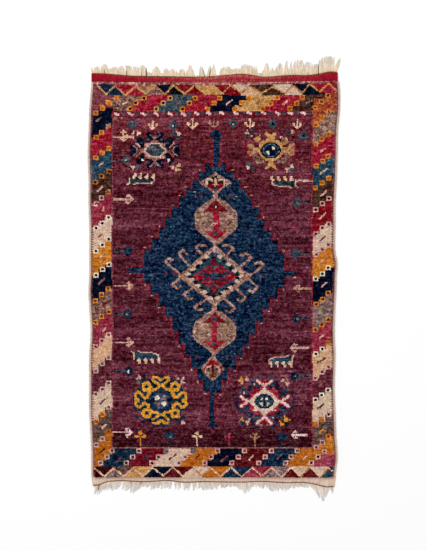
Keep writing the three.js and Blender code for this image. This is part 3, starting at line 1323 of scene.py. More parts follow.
# The four combs: middle, size across and down as above, and their teeth: the first tip across, the step from
# tip to tip, how far down the tips are, the way they lean and the way they bite
TEETH = 4
COMBS = table("""
across down  wide  high  first step tips  lean bite wool
142.3  180   1     1     135.2 6.35 172.9 1    1    pine
283.2  182.8 -0.95 1.03  271.7 6.35 175.4 -1   1    pine
147    356   1     -1.35 139.6 6.7  363.2 1    -1   teal
279.7  360.7 -0.95 -1.4  271.7 6.55 366.4 1    -1   teal
""")


class Drawing:
    """The chart of the rug: where each knot lies on the drawing, and the wool that it is tied in."""

    def __init__(self, across, down):
        self.across = across
        self.down = down
        self.wool = np.zeros(across.shape, int)

    def tie(self, where, wool):
        self.wool[where] = WOOL_NAMES.index(wool)

    def block(self, left, right, upper, lower):
        inside_across = (self.across >= left) & (self.across < right)
        return inside_across & (self.down >= upper) & (self.down < lower)

    def polygon(self, points):
        inside = np.zeros(self.across.shape, bool)
        for (u0, v0), (u1, v1) in zip(points, points[1:] + points[:1]):
            crosses = (v0 > self.down) != (v1 > self.down)
            with np.errstate(divide="ignore", invalid="ignore"):
                meets = u0 + (self.down - v0) * (u1 - u0) / (v1 - v0)
            inside ^= crosses & (self.across < meets)
        return inside

    def stroke(self, points, width):
        near = np.zeros(self.across.shape, bool)
        for (u0, v0), (u1, v1) in zip(points, points[1:]):
            length = math.hypot(u1 - u0, v1 - v0)
            du, dv = (u1 - u0) / length, (v1 - v0) / length
            along = np.clip((self.across - u0) * du + (self.down - v0) * dv, 0, length)
            off = np.hypot(self.across - u0 - along * du, self.down - v0 - along * dv)
            near |= off <= width / 2
        return near

    def oval(self, u, v, half_across, half_down):
        return np.hypot((self.across - u) / half_across, (self.down - v) / half_down) <= 1

    def lozenge(self, u, v, half_across, half_down):
        return abs(self.across - u) / half_across + abs(self.down - v) / half_down <= 1

    def shape(self, shape, points, size):
        if shape == "fill":
            return self.polygon(points)
        if shape == "oval":
            return self.oval(*points[0], *size)
        if shape == "lozenge":
            return self.lozenge(*points[0], *size)
        return self.stroke(points, float(shape))

    def figure(self, name, u, v, wide=1, high=1, main=None, eye=None):
        """Ties one of the figures round a place on the drawing."""
        chosen = {"main": main, "eye": eye}
        for wool, shape, mirrored, *pairs in FIGURES[name]:
            points = [tuple(float(number) for number in pair.split(",")) for pair in pairs]
            for side in (1, -1) if "x" in mirrored else (1,):
                for half in (1, -1) if "y" in mirrored else (1,):
                    placed = [(u + side * wide * x, v + half * high * y) for x, y in points]
                    size = (abs(wide) * points[-1][0], abs(high) * points[-1][1])
                    self.tie(self.shape(shape, placed, size), chosen.get(wool, wool))

    def figures(self, rows):
        for row in rows:
            size = (row["wide"], row["high"])
            self.figure(row["figure"], row["across"], row["down"], *size, row["main"], row["eye"])

    def blocks(self, rows):
        for row in rows:
            self.tie(self.block(row["left"], row["right"], row["upper"], row["lower"]), row["wool"])

    def boxed_square(self, u, v, box, dot):
        """A square of four knots by four, round a dot of two by two."""
        for knots, wool in ((2, box), (1, dot)):
            across, down = knots * KNOT_ACROSS, knots * KNOT_DOWN
            self.tie(self.block(u - across, u + across, v - down, v + down), wool)


def border_blocks(drawing, side, runs, first):
    """Fills the three lanes of one border with blocks, each from one square to the next."""
    for lane, limits in LANES[side].items():
        if side in ("left", "right"):
            along, within = drawing.down, drawing.block(*limits, *LONG_BORDERS)
        else:
            along, within = drawing.across, drawing.block(*ALL_ACROSS, *limits)
        which = np.searchsorted(column(runs, lane), along)
        for index, wool in enumerate([first] + [run["after"] for run in runs]):
            drawing.tie(within & (which == index), wool)


def border_squares(drawing, side, runs):
    for run in runs:
        for lane, limits in LANES[side].items():
            place = (SIDE_SQUARES.get((side, lane), sum(limits) / 2), run[lane])
            if side in ("top", "bottom"):
                place = place[::-1]
            drawing.boxed_square(*place, run["box"], run["dot"])


def borders(drawing):
    for border in BORDERS:
        border_blocks(drawing, *border)
    drawing.blocks(CORNER_BLOCKS)
    for side, runs, _ in BORDERS:
        border_squares(drawing, side, runs)
    for odd in ODD_BOXES:
        drawing.boxed_square(odd["across"], odd["down"], odd["box"], odd["dot"])
    for slash in SLASHES:
        path = ((slash["u0"], slash["v0"]), (slash["u1"], slash["v1"]))
        drawing.tie(drawing.stroke(path, SLASH_WIDTH), slash["wool"])


def zigzag(drawing, corners, upper, lower, width, line_wool):
    """A guard of triangles on both sides of a zigzag line, each in its own wool."""
    within = drawing.block(*ALL_ACROSS, upper, lower)
    across = column(corners, "across")
    down = column(corners, "down")
    line = np.interp(drawing.across, across, down)
    hangs = np.array([down[i] > down[i - 1] if i else down[0] > down[1] for i in range(len(down))])
    for above in (True, False):
        side = within & ((drawing.down < line) == above)
        tips = np.flatnonzero(hangs == above)
        bounds = across[hangs != above]
        which = np.searchsorted(bounds, drawing.across) - (bounds[0] < across[tips[0]])
        for order, tip in enumerate(tips):
            drawing.tie(side & (which == order), corners[tip]["triangle"])
    for here, there in zip(corners, corners[1:]):
        path = ((here["across"], here["down"]), (there["across"], there["down"]))
        drawing.tie(within & drawing.stroke(path, width), LINE_WOOLS.get(here["triangle"], line_wool))


def guards(drawing):
    drawing.blocks(GUARD_BLOCKS)
    for guard in GUARDS:
        zigzag(drawing, *guard)
    for bead, places in BEADS.items():
        for u in places:
            drawing.figure(bead, u, BEADS_BEFORE if u < BEADS_SHIFT else BEADS_AFTER)
    drawing.figure("field_edges", 0, 0)
    every_second_row = slice(None, None, 2)
    for outermost in (0, -1):
        drawing.tie((every_second_row, outermost), "mauve")


def steps_down(corners):
    """A stepped side, saw-toothed: each step's edge slants into the medallion from its outer corner."""
    reach = abs(column(corners, "across") - MEDALLION_CENTRE)
    rise = np.diff(reach)
    notched = (TOOTHED_STEPS[0] < abs(rise)) & (abs(rise) < TOOTHED_STEPS[1])
    points = []
    for index, across in enumerate(column(corners, "across")[:-1]):
        above = SAW_TOOTH if index and notched[index - 1] and rise[index - 1] < 0 else 0
        below = SAW_TOOTH if notched[index] and rise[index] > 0 else 0
        points.append((across, corners[index]["down"] - above))
        points.append((across, corners[index + 1]["down"] + below))
    return points


def medallion(drawing):
    left = steps_down(MEDALLION_LEFT)
    right = steps_down(MEDALLION_RIGHT)
    outline = [*MEDALLION_HEAD, *left, *MEDALLION_FOOT, *reversed(right), *MEDALLION_HEAD_BACK]
    drawing.tie(drawing.stroke(outline + outline[:1], MEDALLION_EDGE), "madder")
    for corners, way in ((MEDALLION_LEFT, 1), (MEDALLION_RIGHT, -1)):
        for before, corner in zip(corners, corners[1:-1]):
            above = corner["down"] < MEDALLION_WIDEST
            edge = corner["across"] if above else before["across"]
            inward, lower = DOT_ABOVE if above else DOT_BELOW
            drawing.figure("step_dot", edge + way * inward, corner["down"] + lower)
    drawing.tie(drawing.polygon(outline), "indigo")
    drawing.figure("medallion_specks", 0, 0)
    drawing.figure("hooks", 0, 0)
    drawing.figure("middle_diamond", *DIAMOND_MIDDLE)
    middle = np.array(DIAMOND_MIDDLE)
    flecks = np.stack([column(FLECKS, "across"), column(FLECKS, "down")], axis=1)
    for between in (flecks + np.roll(flecks, -1, axis=0)) / 2:
        drawing.figure("dark_dot", *(middle + (between - middle) * DOTS_INWARD))
    for fleck in flecks:
        drawing.figure("pale_fleck", *fleck)
    drawing.figures(MEDALLION_FIGURES)


def combs(drawing):
    for row in COMBS:
        drawing.figure("comb", row["across"], row["down"], row["wide"], row["high"], row["wool"])
        for tooth in range(TEETH):
            tip = row["first"] + tooth * row["step"]
            drawing.figure("tooth", tip, row["tips"], row["lean"], row["bite"])


def draw_rug(across, down):
    """The whole drawing. Its rows bend up to the far right corner, as the rug's do."""
    bend = np.interp(across, RISE_ACROSS, (0, 1)) * np.interp(down, RISE_DOWN, (1, 0))
    drawing = Drawing(across, down + FAR_RIGHT_RISE * bend)
    borders(drawing)
    guards(drawing)
    drawing.figures(DEVICES)
    combs(drawing)
    drawing.figure("field_marks", 0, 0)
    medallion(drawing)
    for row in TRIANGLES:
        drawing.figure(row["points"], row["across"], row["down"], row["half"], row["half"], row["wool"])
    return drawing


def to_linear(colours):
    """Display colours from 0 to 255 as linear light from 0 to 1."""
    share = np.asarray(colours, float) / 255
    return np.where(share <= 0.04045, share / 12.92, ((share + 0.055) / 1.055) ** 2.4)


def blurred(values, reach_down, reach_across):
    """Values evened out over their neighbours by a running mean, and brought back to a spread of one."""
    for axis, reach in ((0, reach_down), (1, reach_across)):
        kernel = np.ones(reach) / reach
        padded = np.pad(values, [(reach, reach) if a == axis else (0, 0) for a in (0, 1)], mode="wrap")
        summed = np.apply_along_axis(lambda line: np.convolve(line, kernel, mode="same"), axis, padded)
        values = np.take(summed, range(reach, reach + values.shape[axis]), axis=axis)
    return values / values.std()


def field_colours(drawing, random):
    """The field's colour at each knot: bands of uneven dye, with fine streaks along the rows."""
    red = np.interp(drawing.down, *FIELD_REDDER)
    share = np.interp(drawing.down, *FIELD_DARKER)
    strength, reach_down, reach_across = BANDS
    loose = np.random.default_rng(BANDS_SEED).normal(size=share.shape)
    share = share + strength * blurred(loose, reach_down, reach_across)
    for strength, reach_down, reach_across in STREAKS:
        share = share + strength * blurred(random.normal(size=share.shape), reach_down, reach_across)
    share = np.clip(share, -1, 1)[..., None]
    base, plum, mauve, crimson = (
        np.array(wool, float) for wool in (wool_colour("field"), FIELD_PLUM, FIELD_MAUVE, FIELD_RED)
    )
    base = base + (crimson - base) * red[..., None]
    return np.where(share < 0, base + (plum - base) * -share, base + (mauve - base) * share)


def knot_colours(drawing):
    """Linear colour of every knot, with the unevenness of hand-spun, hand-dyed wool, and with painted highlights
    and shade on single tufts.
    """
    random = np.random.default_rng(SEED)
    shown = WOOL_COLOURS[drawing.wool]
    field = drawing.wool == WOOL_NAMES.index("field")
    shown = np.where(field[..., None], field_colours(drawing, random), shown)
    shape = drawing.wool.shape
    grain_and_light = GRAIN_OF_KNOTS * random.normal(size=shape)
    for strength, reach_down, reach_across in GRAIN_OF_PATCHES:
        grain_and_light += strength * blurred(random.normal(size=shape), reach_down, reach_across)
    mottling = column(WOOLS, "mottling")[drawing.wool]
    # Painted highlights and shade: part of this spread in tone stands in for light on single tufts, the rest is the
    # wool's own
    shown = shown + GRAIN_AND_PAINTED_LIGHT * (mottling * grain_and_light / grain_and_light.std())[..., None]
    shown = shown + TINT_GRAIN * random.normal(size=shape + (3,))
    return to_linear(np.clip(shown, DARKEST, LIGHTEST))


def rows_of_knots():
    """Millimetres across and along of every knot, with the rows counted from the far end."""
    share_across = (np.arange(COLUMNS) + 0.5) / COLUMNS
    share_along = 1 - (np.arange(ROWS) + 0.5) / ROWS
    return body_place(*np.meshgrid(share_across, share_along))


def on_drawing(x, y):
    return DRAWING_CENTRE + x * MM / PIXEL, DRAWING_MIDDLE - y * MM / PIXEL


def mesh_from_arrays(name, points, faces, material):
    """A mesh object from arrays: points, and faces that all have as many corners as each other."""
    mesh = bpy.data.meshes.new(name)
    corners = faces.shape[1]
    mesh.vertices.add(len(points))
    mesh.vertices.foreach_set("co", np.ascontiguousarray(points, np.float32).ravel())
    mesh.loops.add(faces.size)
    mesh.loops.foreach_set("vertex_index", np.ascontiguousarray(faces, np.int32).ravel())
    mesh.polygons.add(len(faces))
    mesh.polygons.foreach_set("loop_start", np.arange(0, faces.size, corners, dtype=np.int32))
    mesh.update(calc_edges=True)
    mesh.materials.append(material)
    mesh.shade_smooth()
    piece = bpy.data.objects.new(name, mesh)
    bpy.context.scene.collection.objects.link(piece)
    return piece


def tube_faces(rings, around):
    """Quads over a tube of rings with so many points around, with both ends closed by quads."""
    ring = np.arange(rings - 1)[:, None] * around
    step = np.arange(around)
    following = (step + 1) % around
    corners = (ring + step, ring + following, ring + around + following, ring + around + step)
    caps = []
    last = (rings - 1) * around
    for first in range(around // 2 - 1):
        near = (first, around - 1 - first, around - 2 - first, first + 1)
        caps.append(near)
        caps.append(tuple(last + corner for corner in reversed(near)))
    return np.concatenate([np.stack(corners, axis=-1).reshape(-1, 4), np.array(caps)])


def turn_round(around):
    """Angles of the points round a tube."""
    return np.linspace(0, 2 * math.pi, around, endpoint=False)


def woven_grid(name, columns, rows):
    """A flat grid to be woven over, and each of its points' shares of the way across and along."""
    bpy.ops.object.select_all(action="DESELECT")
    bpy.ops.mesh.primitive_grid_add(x_subdivisions=columns, y_subdivisions=rows, size=1)
    piece = bpy.context.object
    piece.name = name
    return piece, (np.array([tuple(v.co) for v in piece.data.vertices]) + 0.5)[:, :2].T


def lay_out(piece, places, thickness):
    """Moves the points of a woven grid to their places, and gives it its thickness below them."""
    piece.data.vertices.foreach_set("co", places.astype(np.float32).ravel())
    solid = piece.modifiers.new("thickness", "SOLIDIFY")
    solid.thickness = thickness
    solid.offset = -1
    bpy.ops.object.modifier_apply(modifier="thickness")
    piece.data.shade_smooth()


def paint(piece, colours):
    """Gives each point of a piece its colour, which the material reads as its wool."""
    wool = piece.data.color_attributes.new("wool", "FLOAT_COLOR", "POINT")
    four = np.ones((len(piece.data.vertices), 4), np.float32)
    four[:, :3] = colours
    wool.data.foreach_set("color", four.ravel())


def wool_material(name, roughness, sheen, fibre_scale, bump, shine=0.05):
    """Wool whose colour is the piece's own, with fine fibres in its colour and its surface."""
    material = bpy.data.materials.new(name)
    material.use_nodes = True
    nodes, links = material.node_tree.nodes, material.node_tree.links

    def node(kind, **values):
        made = nodes.new(kind)
        for socket, value in values.items():
            made.inputs[socket.replace("_", " ")].default_value = value
        return made

    shader = nodes["Principled BSDF"]
    shader.inputs["Roughness"].default_value = roughness
    shader.inputs["Specular IOR Level"].default_value = shine
    shader.inputs["Sheen Weight"].default_value = sheen
    shader.inputs["Sheen Roughness"].default_value = 0.6
    wool = node("ShaderNodeAttribute")
    wool.attribute_name = "wool"
    place = node("ShaderNodeTexCoord")
    stretch = node("ShaderNodeMapping", Scale=fibre_scale)
    fibre = node("ShaderNodeTexNoise", Scale=1.0, Detail=3.0)
    tone = node("ShaderNodeMapRange", To_Min=0.72, To_Max=1.28)
    shade = node("ShaderNodeVectorMath")
    shade.operation = "SCALE"
    raised = node("ShaderNodeBump", Strength=bump, Distance=0.3 * MM)
    links.new(place.outputs["Object"], stretch.inputs["Vector"])
    links.new(stretch.outputs["Vector"], fibre.inputs["Vector"])
    links.new(fibre.outputs["Fac"], tone.inputs["Value"])
    links.new(wool.outputs["Color"], shade.inputs[0])
    links.new(tone.outputs["Result"], shade.inputs["Scale"])
    links.new(shade.outputs["Vector"], shader.inputs["Base Color"])
    links.new(fibre.outputs["Fac"], raised.inputs["Height"])
    links.new(raised.outputs["Normal"], shader.inputs["Normal"])
    return material


class RugSizes(bpy.types.PropertyGroup):
    """Sizes that a user of the rug may change."""

    pile_height: bpy.props.FloatProperty(
        name="Pile height",
        description="Height of the cut pile over the floor",
        default=PILE_TOP,
        unit="LENGTH",
    )
    tuft_width: bpy.props.FloatProperty(
        name="Tuft width",
        description="Width of a tuft at its tip, as a share of a knot",
        default=1.04,
    )
    pile_lean: bpy.props.FloatProperty(
        name="Pile lean",
        description="How far the pile leans to the near end",
        default=1.3 * MM,
        unit="LENGTH",
    )
    wrap_pitch: bpy.props.FloatProperty(
        name="Wrap pitch",
        description="Length of edge that one wrapping yarn covers",
        default=3.2 * MM,
        unit="LENGTH",
    )
    yarn_pitch: bpy.props.FloatProperty(
        name="Yarn pitch",
        description="Millimetres from one yarn of the fringe to the next",
        default=0.85,
    )


class RugColours(bpy.types.PropertyGroup):
    """Colours outside the pile that a user of the rug may change."""

    overcast: bpy.props.FloatVectorProperty(
        name="Overcast",
        description="Wool that wraps both sides",
        subtype="COLOR",
        default=to_linear((204, 177, 160)),
    )
    warp: bpy.props.FloatVectorProperty(
        name="Warp",
        description="Wool of the warps and fringes",
        subtype="COLOR",
        default=to_linear(BARE_WARP),
    )
    red_weave: bpy.props.FloatVectorProperty(
        name="Red weave",
        description="Wool of the far flat weave",
        subtype="COLOR",
        default=to_linear((142, 16, 36)),
    )
    pale_weave: bpy.props.FloatVectorProperty(
        name="Pale weave",
        description="Wool of the near flat weave",
        subtype="COLOR",
        default=to_linear((212, 184, 166)),
    )
    twine: bpy.props.FloatVectorProperty(
        name="Twine",
        description="Wool of the twined cords",
        subtype="COLOR",
        default=to_linear((86, 44, 10)),
    )


class RUG_OT_stage(bpy.types.Operator):
    """Makes the pale floor, the soft studio light and the camera above the rug"""

    bl_idname = "rug.stage"
    bl_label = "Stage, light and camera"

    def execute(self, context):
        scene = context.scene
        scene.view_settings.view_transform = "Standard"
        bpy.ops.object.select_all(action="DESELECT")
        bpy.ops.mesh.primitive_grid_add(x_subdivisions=2, y_subdivisions=2, size=12, location=(0, 0, 0))
        floor = context.object
        floor.name = "floor"
        paper = bpy.data.materials.new("paper_floor")
        paper.use_nodes = True
        shader = paper.node_tree.nodes["Principled BSDF"]
        shader.inputs["Base Color"].default_value = (0.93, 0.93, 0.93, 1)
        shader.inputs["Roughness"].default_value = 1.0
        shader.inputs["Specular IOR Level"].default_value = 0.0
        floor.data.materials.append(paper)
        world = bpy.data.worlds.new("studio")
        world.use_nodes = True
        sky = world.node_tree.nodes["Background"]
        sky.inputs["Color"].default_value = (1, 1, 1, 1)
        sky.inputs["Strength"].default_value = 0.62
        scene.world = world
        self.lamp("key", place=(-1.6, 1.5, 2.6), size=2.4, power=60)
        self.lamp("fill", place=(1.8, -1.4, 2.8), size=2.6, power=26)
        self.camera(scene)
        return {"FINISHED"}

    def lamp(self, name, place, size, power):
        """A round lamp that faces the middle of the rug."""
        bpy.ops.object.light_add(type="AREA", location=place)
        lamp = bpy.context.object
        lamp.name = name
        lamp.data.shape = "DISK"
        lamp.data.size = size
        lamp.data.energy = power
        away = lamp.location.normalized()
        lamp.rotation_mode = "QUATERNION"
        lamp.rotation_quaternion = away.to_track_quat("Z", "Y")

    def camera(self, scene):
        """The camera looks straight down, with the photograph's middle in its middle."""
        distance = 3.4
        sensor = 36.0
        across = (PHOTO_WIDTH / 2 - DRAWING_CENTRE) * PIXEL + SHIFT_ACROSS
        along = (DRAWING_MIDDLE - PHOTO_HEIGHT / 2) * PIXEL + SHIFT_ALONG
        bpy.ops.object.camera_add(location=(across, along, distance), rotation=(0, 0, 0))
        camera = bpy.context.object
        camera.name = "camera"
        camera.data.sensor_width = sensor
        camera.data.lens = sensor * (distance - PILE_TOP) / (PHOTO_HEIGHT * PIXEL)
        scene.camera = camera


class RUG_OT_cloth(bpy.types.Operator):
    """Makes the woven foundation that carries the knots"""

    bl_idname = "rug.cloth"
    bl_label = "Foundation cloth"

    def execute(self, context):
        cloth, shares = woven_grid("rug_cloth", CLOTH_COLUMNS, CLOTH_ROWS)
        lay_out(cloth, in_frame(*body_place(*shares), FOUNDATION_HEIGHT), FOUNDATION_HEIGHT)
        material = wool_material(
            "foundation", roughness=0.95, sheen=0.1, fibre_scale=(900, 320, 900), bump=0.6
        )
        cloth.data.materials.append(material)
        paint(cloth, to_linear(wool_colour("plum")))
        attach(cloth, "root")
        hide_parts("knotted_body")
        return {"FINISHED"}


class RUG_OT_pile(bpy.types.Operator):
    """Ties every knot of the rug as one tuft of wool"""

    bl_idname = "rug.pile"
    bl_label = "Knotted pile"

    def execute(self, context):
        random = np.random.default_rng(SEED + 1)
        x, y = rows_of_knots()
        colours = knot_colours(draw_rug(*on_drawing(x, y)))
        points, faces = self.tuft()
        places = self.tuft_map(points, faces)
        material = wool_material(
            "pile", roughness=0.95, sheen=0.0, fibre_scale=(900, 900, 260), bump=0.5, shine=0.0
        )
        tufts = self.tufts(points, x, y, context.scene.rug_sizes, random)
        for band, rows in enumerate(np.array_split(np.arange(ROWS), PILE_BANDS)):
            piece = self.band(band + 1, points, faces, tufts[rows], colours[rows], places, material)
            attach(piece, "root")
        return {"FINISHED"}

    def tuft(self):
        """One tuft: a square stem of pile whose cut tip is a low dome. Its points and its faces."""
        bpy.ops.object.select_all(action="DESELECT")
        bpy.ops.mesh.primitive_cylinder_add(vertices=4, radius=1.0, depth=1.0)
        pattern = bpy.context.object
        bpy.ops.object.mode_set(mode="EDIT")
        bpy.ops.mesh.select_all(action="DESELECT")
        bpy.ops.object.mode_set(mode="OBJECT")
        for face in pattern.data.polygons:
            face.select = face.normal.z > 0.5
        bpy.ops.object.mode_set(mode="EDIT")
        bpy.ops.mesh.poke(offset=0.15)
        bpy.ops.mesh.select_all(action="SELECT")
        bpy.ops.mesh.quads_convert_to_tris()
        bpy.ops.object.mode_set(mode="OBJECT")
        points = np.array([tuple(v.co) for v in pattern.data.vertices])
        points[:, 2] += 0.5
        faces = np.array([tuple(p.vertices) for p in pattern.data.polygons])
        bpy.data.objects.remove(pattern)
        eighth = np.array([[1, 1], [-1, 1]])
        points[:, :2] = points[:, :2] @ eighth
        return points, faces

    def tuft_map(self, points, faces):
        """The tuft laid flat from above: its tip in the middle, its stem round that, its foot in a corner."""
        middle, shoulder, hem, corner = 0.53, 0.27, 0.44, 0.02
        level = np.select([points[:, 2] > 1.05, points[:, 2] > 0.5], [0.0, shoulder], hem)
        size = np.maximum(abs(points[:, :2]).max(axis=1, keepdims=True), 1e-6)
        flat = middle + points[:, :2] / size * level[:, None]
        places = flat[faces]
        foot = (points[faces][..., 2] < 0.5).all(axis=1)
        places[foot] = corner + (points[faces[foot]][..., :2] + 1) * corner
        return places

    def tufts(self, points, x, y, sizes, random):
        """The points of every tuft: each is turned, leans and reaches up a little in its own way."""
        shape = x.shape
        foot = FOUNDATION_HEIGHT - FOOT_DEPTH
        wear = WEAR * blurred(random.normal(size=shape), WORN_KNOTS, WORN_KNOTS)
        height = sizes.pile_height - foot + wear + HEIGHT_SCATTER * random.normal(size=shape)
        pitch_across = (x[0, -1] - x[0, 0]) / (COLUMNS - 1) * MM
        pitch_along = (y[0, 0] - y[-1, 0]) / (ROWS - 1) * MM
        turn = TURN_SCATTER * random.normal(size=shape)
        size = (sizes.tuft_width * (1 + WIDTH_SCATTER * random.normal(size=shape)))[..., None]
        up = points[:, 2]
        widen = np.where(up > 0.5, 1.0, FOOT_WIDTH)
        local_x = points[:, 0] * widen * pitch_across / 2
        local_y = points[:, 1] * widen * pitch_along / 2
        lean_x = LEAN_SCATTER[0] * random.normal(size=shape)
        lean_y = LEAN_SCATTER[1] * random.normal(size=shape) - sizes.pile_lean
        cos, sin = np.cos(turn)[..., None], np.sin(turn)[..., None]
        made = np.empty(shape + (len(points), 3))
        made[..., 0] = size * (local_x * cos - local_y * sin) + lean_x[..., None] * up**LEAN_POWER
        made[..., 1] = size * (local_x * sin + local_y * cos) + lean_y[..., None] * up**LEAN_POWER
        made[..., 2] = foot + up * height[..., None]
        return made + in_frame(x, y, 0.0)[..., None, :]

    def band(self, number, points, faces, tufts, colours, places, material):
        """One piece of so many rows of tufts, with a layout for a baked picture that holds every tuft."""
        rows, columns, corners = tufts.shape[:3]
        starts = np.arange(rows * columns)[:, None, None] * corners
        all_faces = (faces + starts).reshape(-1, 3)
        piece = mesh_from_arrays(f"pile_band_{number}", tufts.reshape(-1, 3), all_faces, material)
        # Painted shade: each tuft is painted darker towards its foot, deep in the pile between the tufts
        tone = np.interp(points[:, 2], (0.0, 1.0), (FOOT_PAINTED_SHADE, 1.0))
        paint(piece, (colours[..., None, :] * tone[:, None]).reshape(-1, 3))
        cells = np.stack(np.meshgrid(np.arange(columns), np.arange(rows)[::-1]), axis=-1)
        layout = (places + cells.reshape(-1, 1, 1, 2)) / (columns, rows)
        layer = piece.data.uv_layers.new(name="OFBake")
        layer.data.foreach_set("uv", layout.astype(np.float32).ravel())
        return piece


class RUG_OT_selvedges(bpy.types.Operator):
    """Wraps both sides of the rug in pale yarn, turn by turn"""

    bl_idname = "rug.selvedges"
    bl_label = "Overcast selvedges"

    def execute(self, context):
        material = wool_material(
            "overcast", roughness=0.92, sheen=0.3, fibre_scale=(420, 1500, 1500), bump=0.6
        )
        for name, side in (("left", -1), ("right", 1)):
            self.selvedge(name, side, context.scene, material)
        return {"FINISHED"}

    def selvedge(self, name, side, scene, material):
        random = np.random.default_rng(SEED + 2 + side)
        wraps = round((FAR_SEAM - NEAR_SEAM) * MM / scene.rug_sizes.wrap_pitch)
        rings = wraps * RINGS_PER_WRAP + 1
        share = np.linspace(0.001, 0.999, rings)[:, None]
        angle = turn_round(WRAP_AROUND)[None, :]
        guide = NEAR_SEAM + share * (FAR_SEAM - NEAR_SEAM)
        outer = -left_side(guide) if side < 0 else right_side(guide)
        half = SELVEDGE_WIDTH / MM / 2
        reach = half * WRAP_REACH
        phase = share * wraps + WRAP_SLANT * np.cos(angle)
        which = np.clip(np.floor(phase + 1).astype(int), 0, wraps + 2)
        wrap = np.abs(np.sin(math.pi * phase))
        size = (1 + WRAP_SCATTER * random.normal(size=wraps + 3))[which]
        swell = (1 - WRAP_DEPTH + WRAP_DEPTH * wrap) * np.minimum(size, WIDEST_WRAP)
        x = outer - side * half + np.cos(angle) * reach * swell
        top = np.clip(np.sin(angle), 0, 1) ** WRAP_ROUNDNESS * SELVEDGE_HEIGHT * swell
        z = np.where(np.sin(angle) > 0.01, top, 0.0)
        near = NEAR_END.seam(x) + SHORT_OF_SEAM
        far = FAR_END.seam(x) - SHORT_OF_SEAM
        points = in_frame(x, near + share * (far - near), z).reshape(-1, 3)
        faces = tube_faces(rings, WRAP_AROUND)
        piece = mesh_from_arrays(f"selvedge_wraps_{name}", points, faces, material)
        tone = np.exp(WRAP_TONE * random.normal(size=wraps + 3)[which])
        # Painted shade: the grooves between the wraps are painted darker
        tone = tone * (1 - GROOVE_PAINTED_SHADE + GROOVE_PAINTED_SHADE * wrap)
        paint(piece, (np.array(scene.rug_colours.overcast) * tone[..., None]).reshape(-1, 3))
        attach(piece, "root")
        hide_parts(f"selvedge_{name}")


class RUG_OT_woven_ends(bpy.types.Operator):
    """Weaves the flat end at each end of the rug, ribbed by its warps"""

    bl_idname = "rug.woven_ends"
    bl_label = "Flat-woven ends"

    def execute(self, context):
        colours = context.scene.rug_colours
        self.weave(FAR_END, np.array(colours.red_weave), "red_weave", uneven=0.30)
        self.weave(NEAR_END, np.array(colours.pale_weave), "pale_weave", uneven=0.12)
        return {"FINISHED"}

    def weave(self, end, colour, slot, uneven):
        columns = RIBS * 2
        piece, (across, along) = woven_grid(f"flat_weave_{end.name}", columns, WEAVE_ROWS)
        outward = along if end.sign > 0 else 1 - along
        x = end.across(across, outward)
        inner = end.seam(x) - end.sign * UNDER_PILE
        y = inner + outward * (end.rim(x) + end.sign * PAST_RIM - inner)
        z = KILIM_HEIGHT - GROOVE * (np.round(across * columns) % 2)
        lay_out(piece, in_frame(x, y, z), WEAVE_THICKNESS)
        places = np.empty(len(piece.data.vertices) * 3, np.float32)
        piece.data.vertices.foreach_get("co", places)
        places = places.reshape(-1, 3)
        places[places[:, 2] < KILIM_HEIGHT / 2, 2] = 0.0
        piece.data.vertices.foreach_set("co", places.ravel())
        material = wool_material(
            f"{slot}_wool", roughness=0.93, sheen=0.0, fibre_scale=(700, 2600, 700), bump=0.8, shine=0.0
        )
        piece.data.materials.append(material)
        paint(piece, self.tones(end, places, colour, uneven))
        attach(piece, "root")
        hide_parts(f"kilim_end_{end.name}")

    def tones(self, end, places, colour, uneven):
        """The weave's colour at each point. The far end's red is faded, most of all near its two edges."""
        random = np.random.default_rng(SEED + 11 + end.sign)
        x = (places[:, 0] - SHIFT_ACROSS) / MM
        y = (places[:, 1] - SHIFT_ALONG) / MM
        tones = colour * np.exp(uneven * random.normal(size=len(places)))[:, None]
        if end is FAR_END:
            outward = (y - end.seam(x)) / (end.rim(x) - end.seam(x))
            faded = np.exp(-(((x - FADED_AT) / FADED_REACH) ** 2))
            faded = faded * np.clip(abs(outward - FRESH_AT) * FADE_GROWS, FADE_LEAST, 1)
            flecks = FADE_MEAN + FADE_SCATTER * random.normal(size=len(places))
            share = np.clip(faded * flecks, 0, FADE_MOST)[:, None]
            tones = tones + (to_linear(PALE_FLECK) - tones) * share
        return tones


class RUG_OT_cords(bpy.types.Operator):
    """Twists the two-yarn cord that locks each flat-woven end"""

    bl_idname = "rug.cords"
    bl_label = "Twined cords"

    def execute(self, context):
        material = wool_material(
            "brown_twine_wool", roughness=0.9, sheen=0.2, fibre_scale=(1200, 1200, 1200), bump=0.5
        )
        colour = np.array(context.scene.rug_colours.twine)
        for end in (FAR_END, NEAR_END):
            self.cord(end, colour, material)
        return {"FINISHED"}

    def cord(self, end, colour, material):
        rings = TWISTS * RINGS_PER_TWIST + 1
        share = np.linspace(0.0, 1.0, rings)[:, None]
        x = end.across(CORD_START + CORD_LENGTH * share, 1.0)
        middle = end.rim(x) + end.sign * (GAP + CORD_WIDTH / 2) / MM
        angle = turn_round(CORD_AROUND)[None, :]
        yarns = []
        for start in (0, math.pi):
            twist = 2 * math.pi * TWISTS * share + start
            y = middle + CORD_TWIST * np.cos(twist) + CORD_YARN * np.cos(angle)
            z = CORD_YARN + CORD_TWIST + CORD_TWIST * np.sin(twist) + CORD_YARN * np.sin(angle)
            yarns.append(in_frame(x, y, z * MM).reshape(-1, 3))
        faces = tube_faces(rings, CORD_AROUND)
        faces = np.concatenate([faces, faces + rings * CORD_AROUND])
        piece = mesh_from_arrays(f"twined_yarns_{end.name}", np.concatenate(yarns), faces, material)
        random = np.random.default_rng(SEED + 21 + end.sign)
        places = np.linspace(0, rings, SLOW_PLACES)
        slow = np.interp(np.arange(rings), places, random.normal(size=SLOW_PLACES))
        tone = CORD_TONE * random.normal(size=2 * rings) + SLOW_TONE * np.tile(slow, 2)
        paint(piece, colour * np.exp(np.repeat(tone, CORD_AROUND))[:, None])
        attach(piece, "root")
        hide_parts(f"twined_cord_{end.name}")


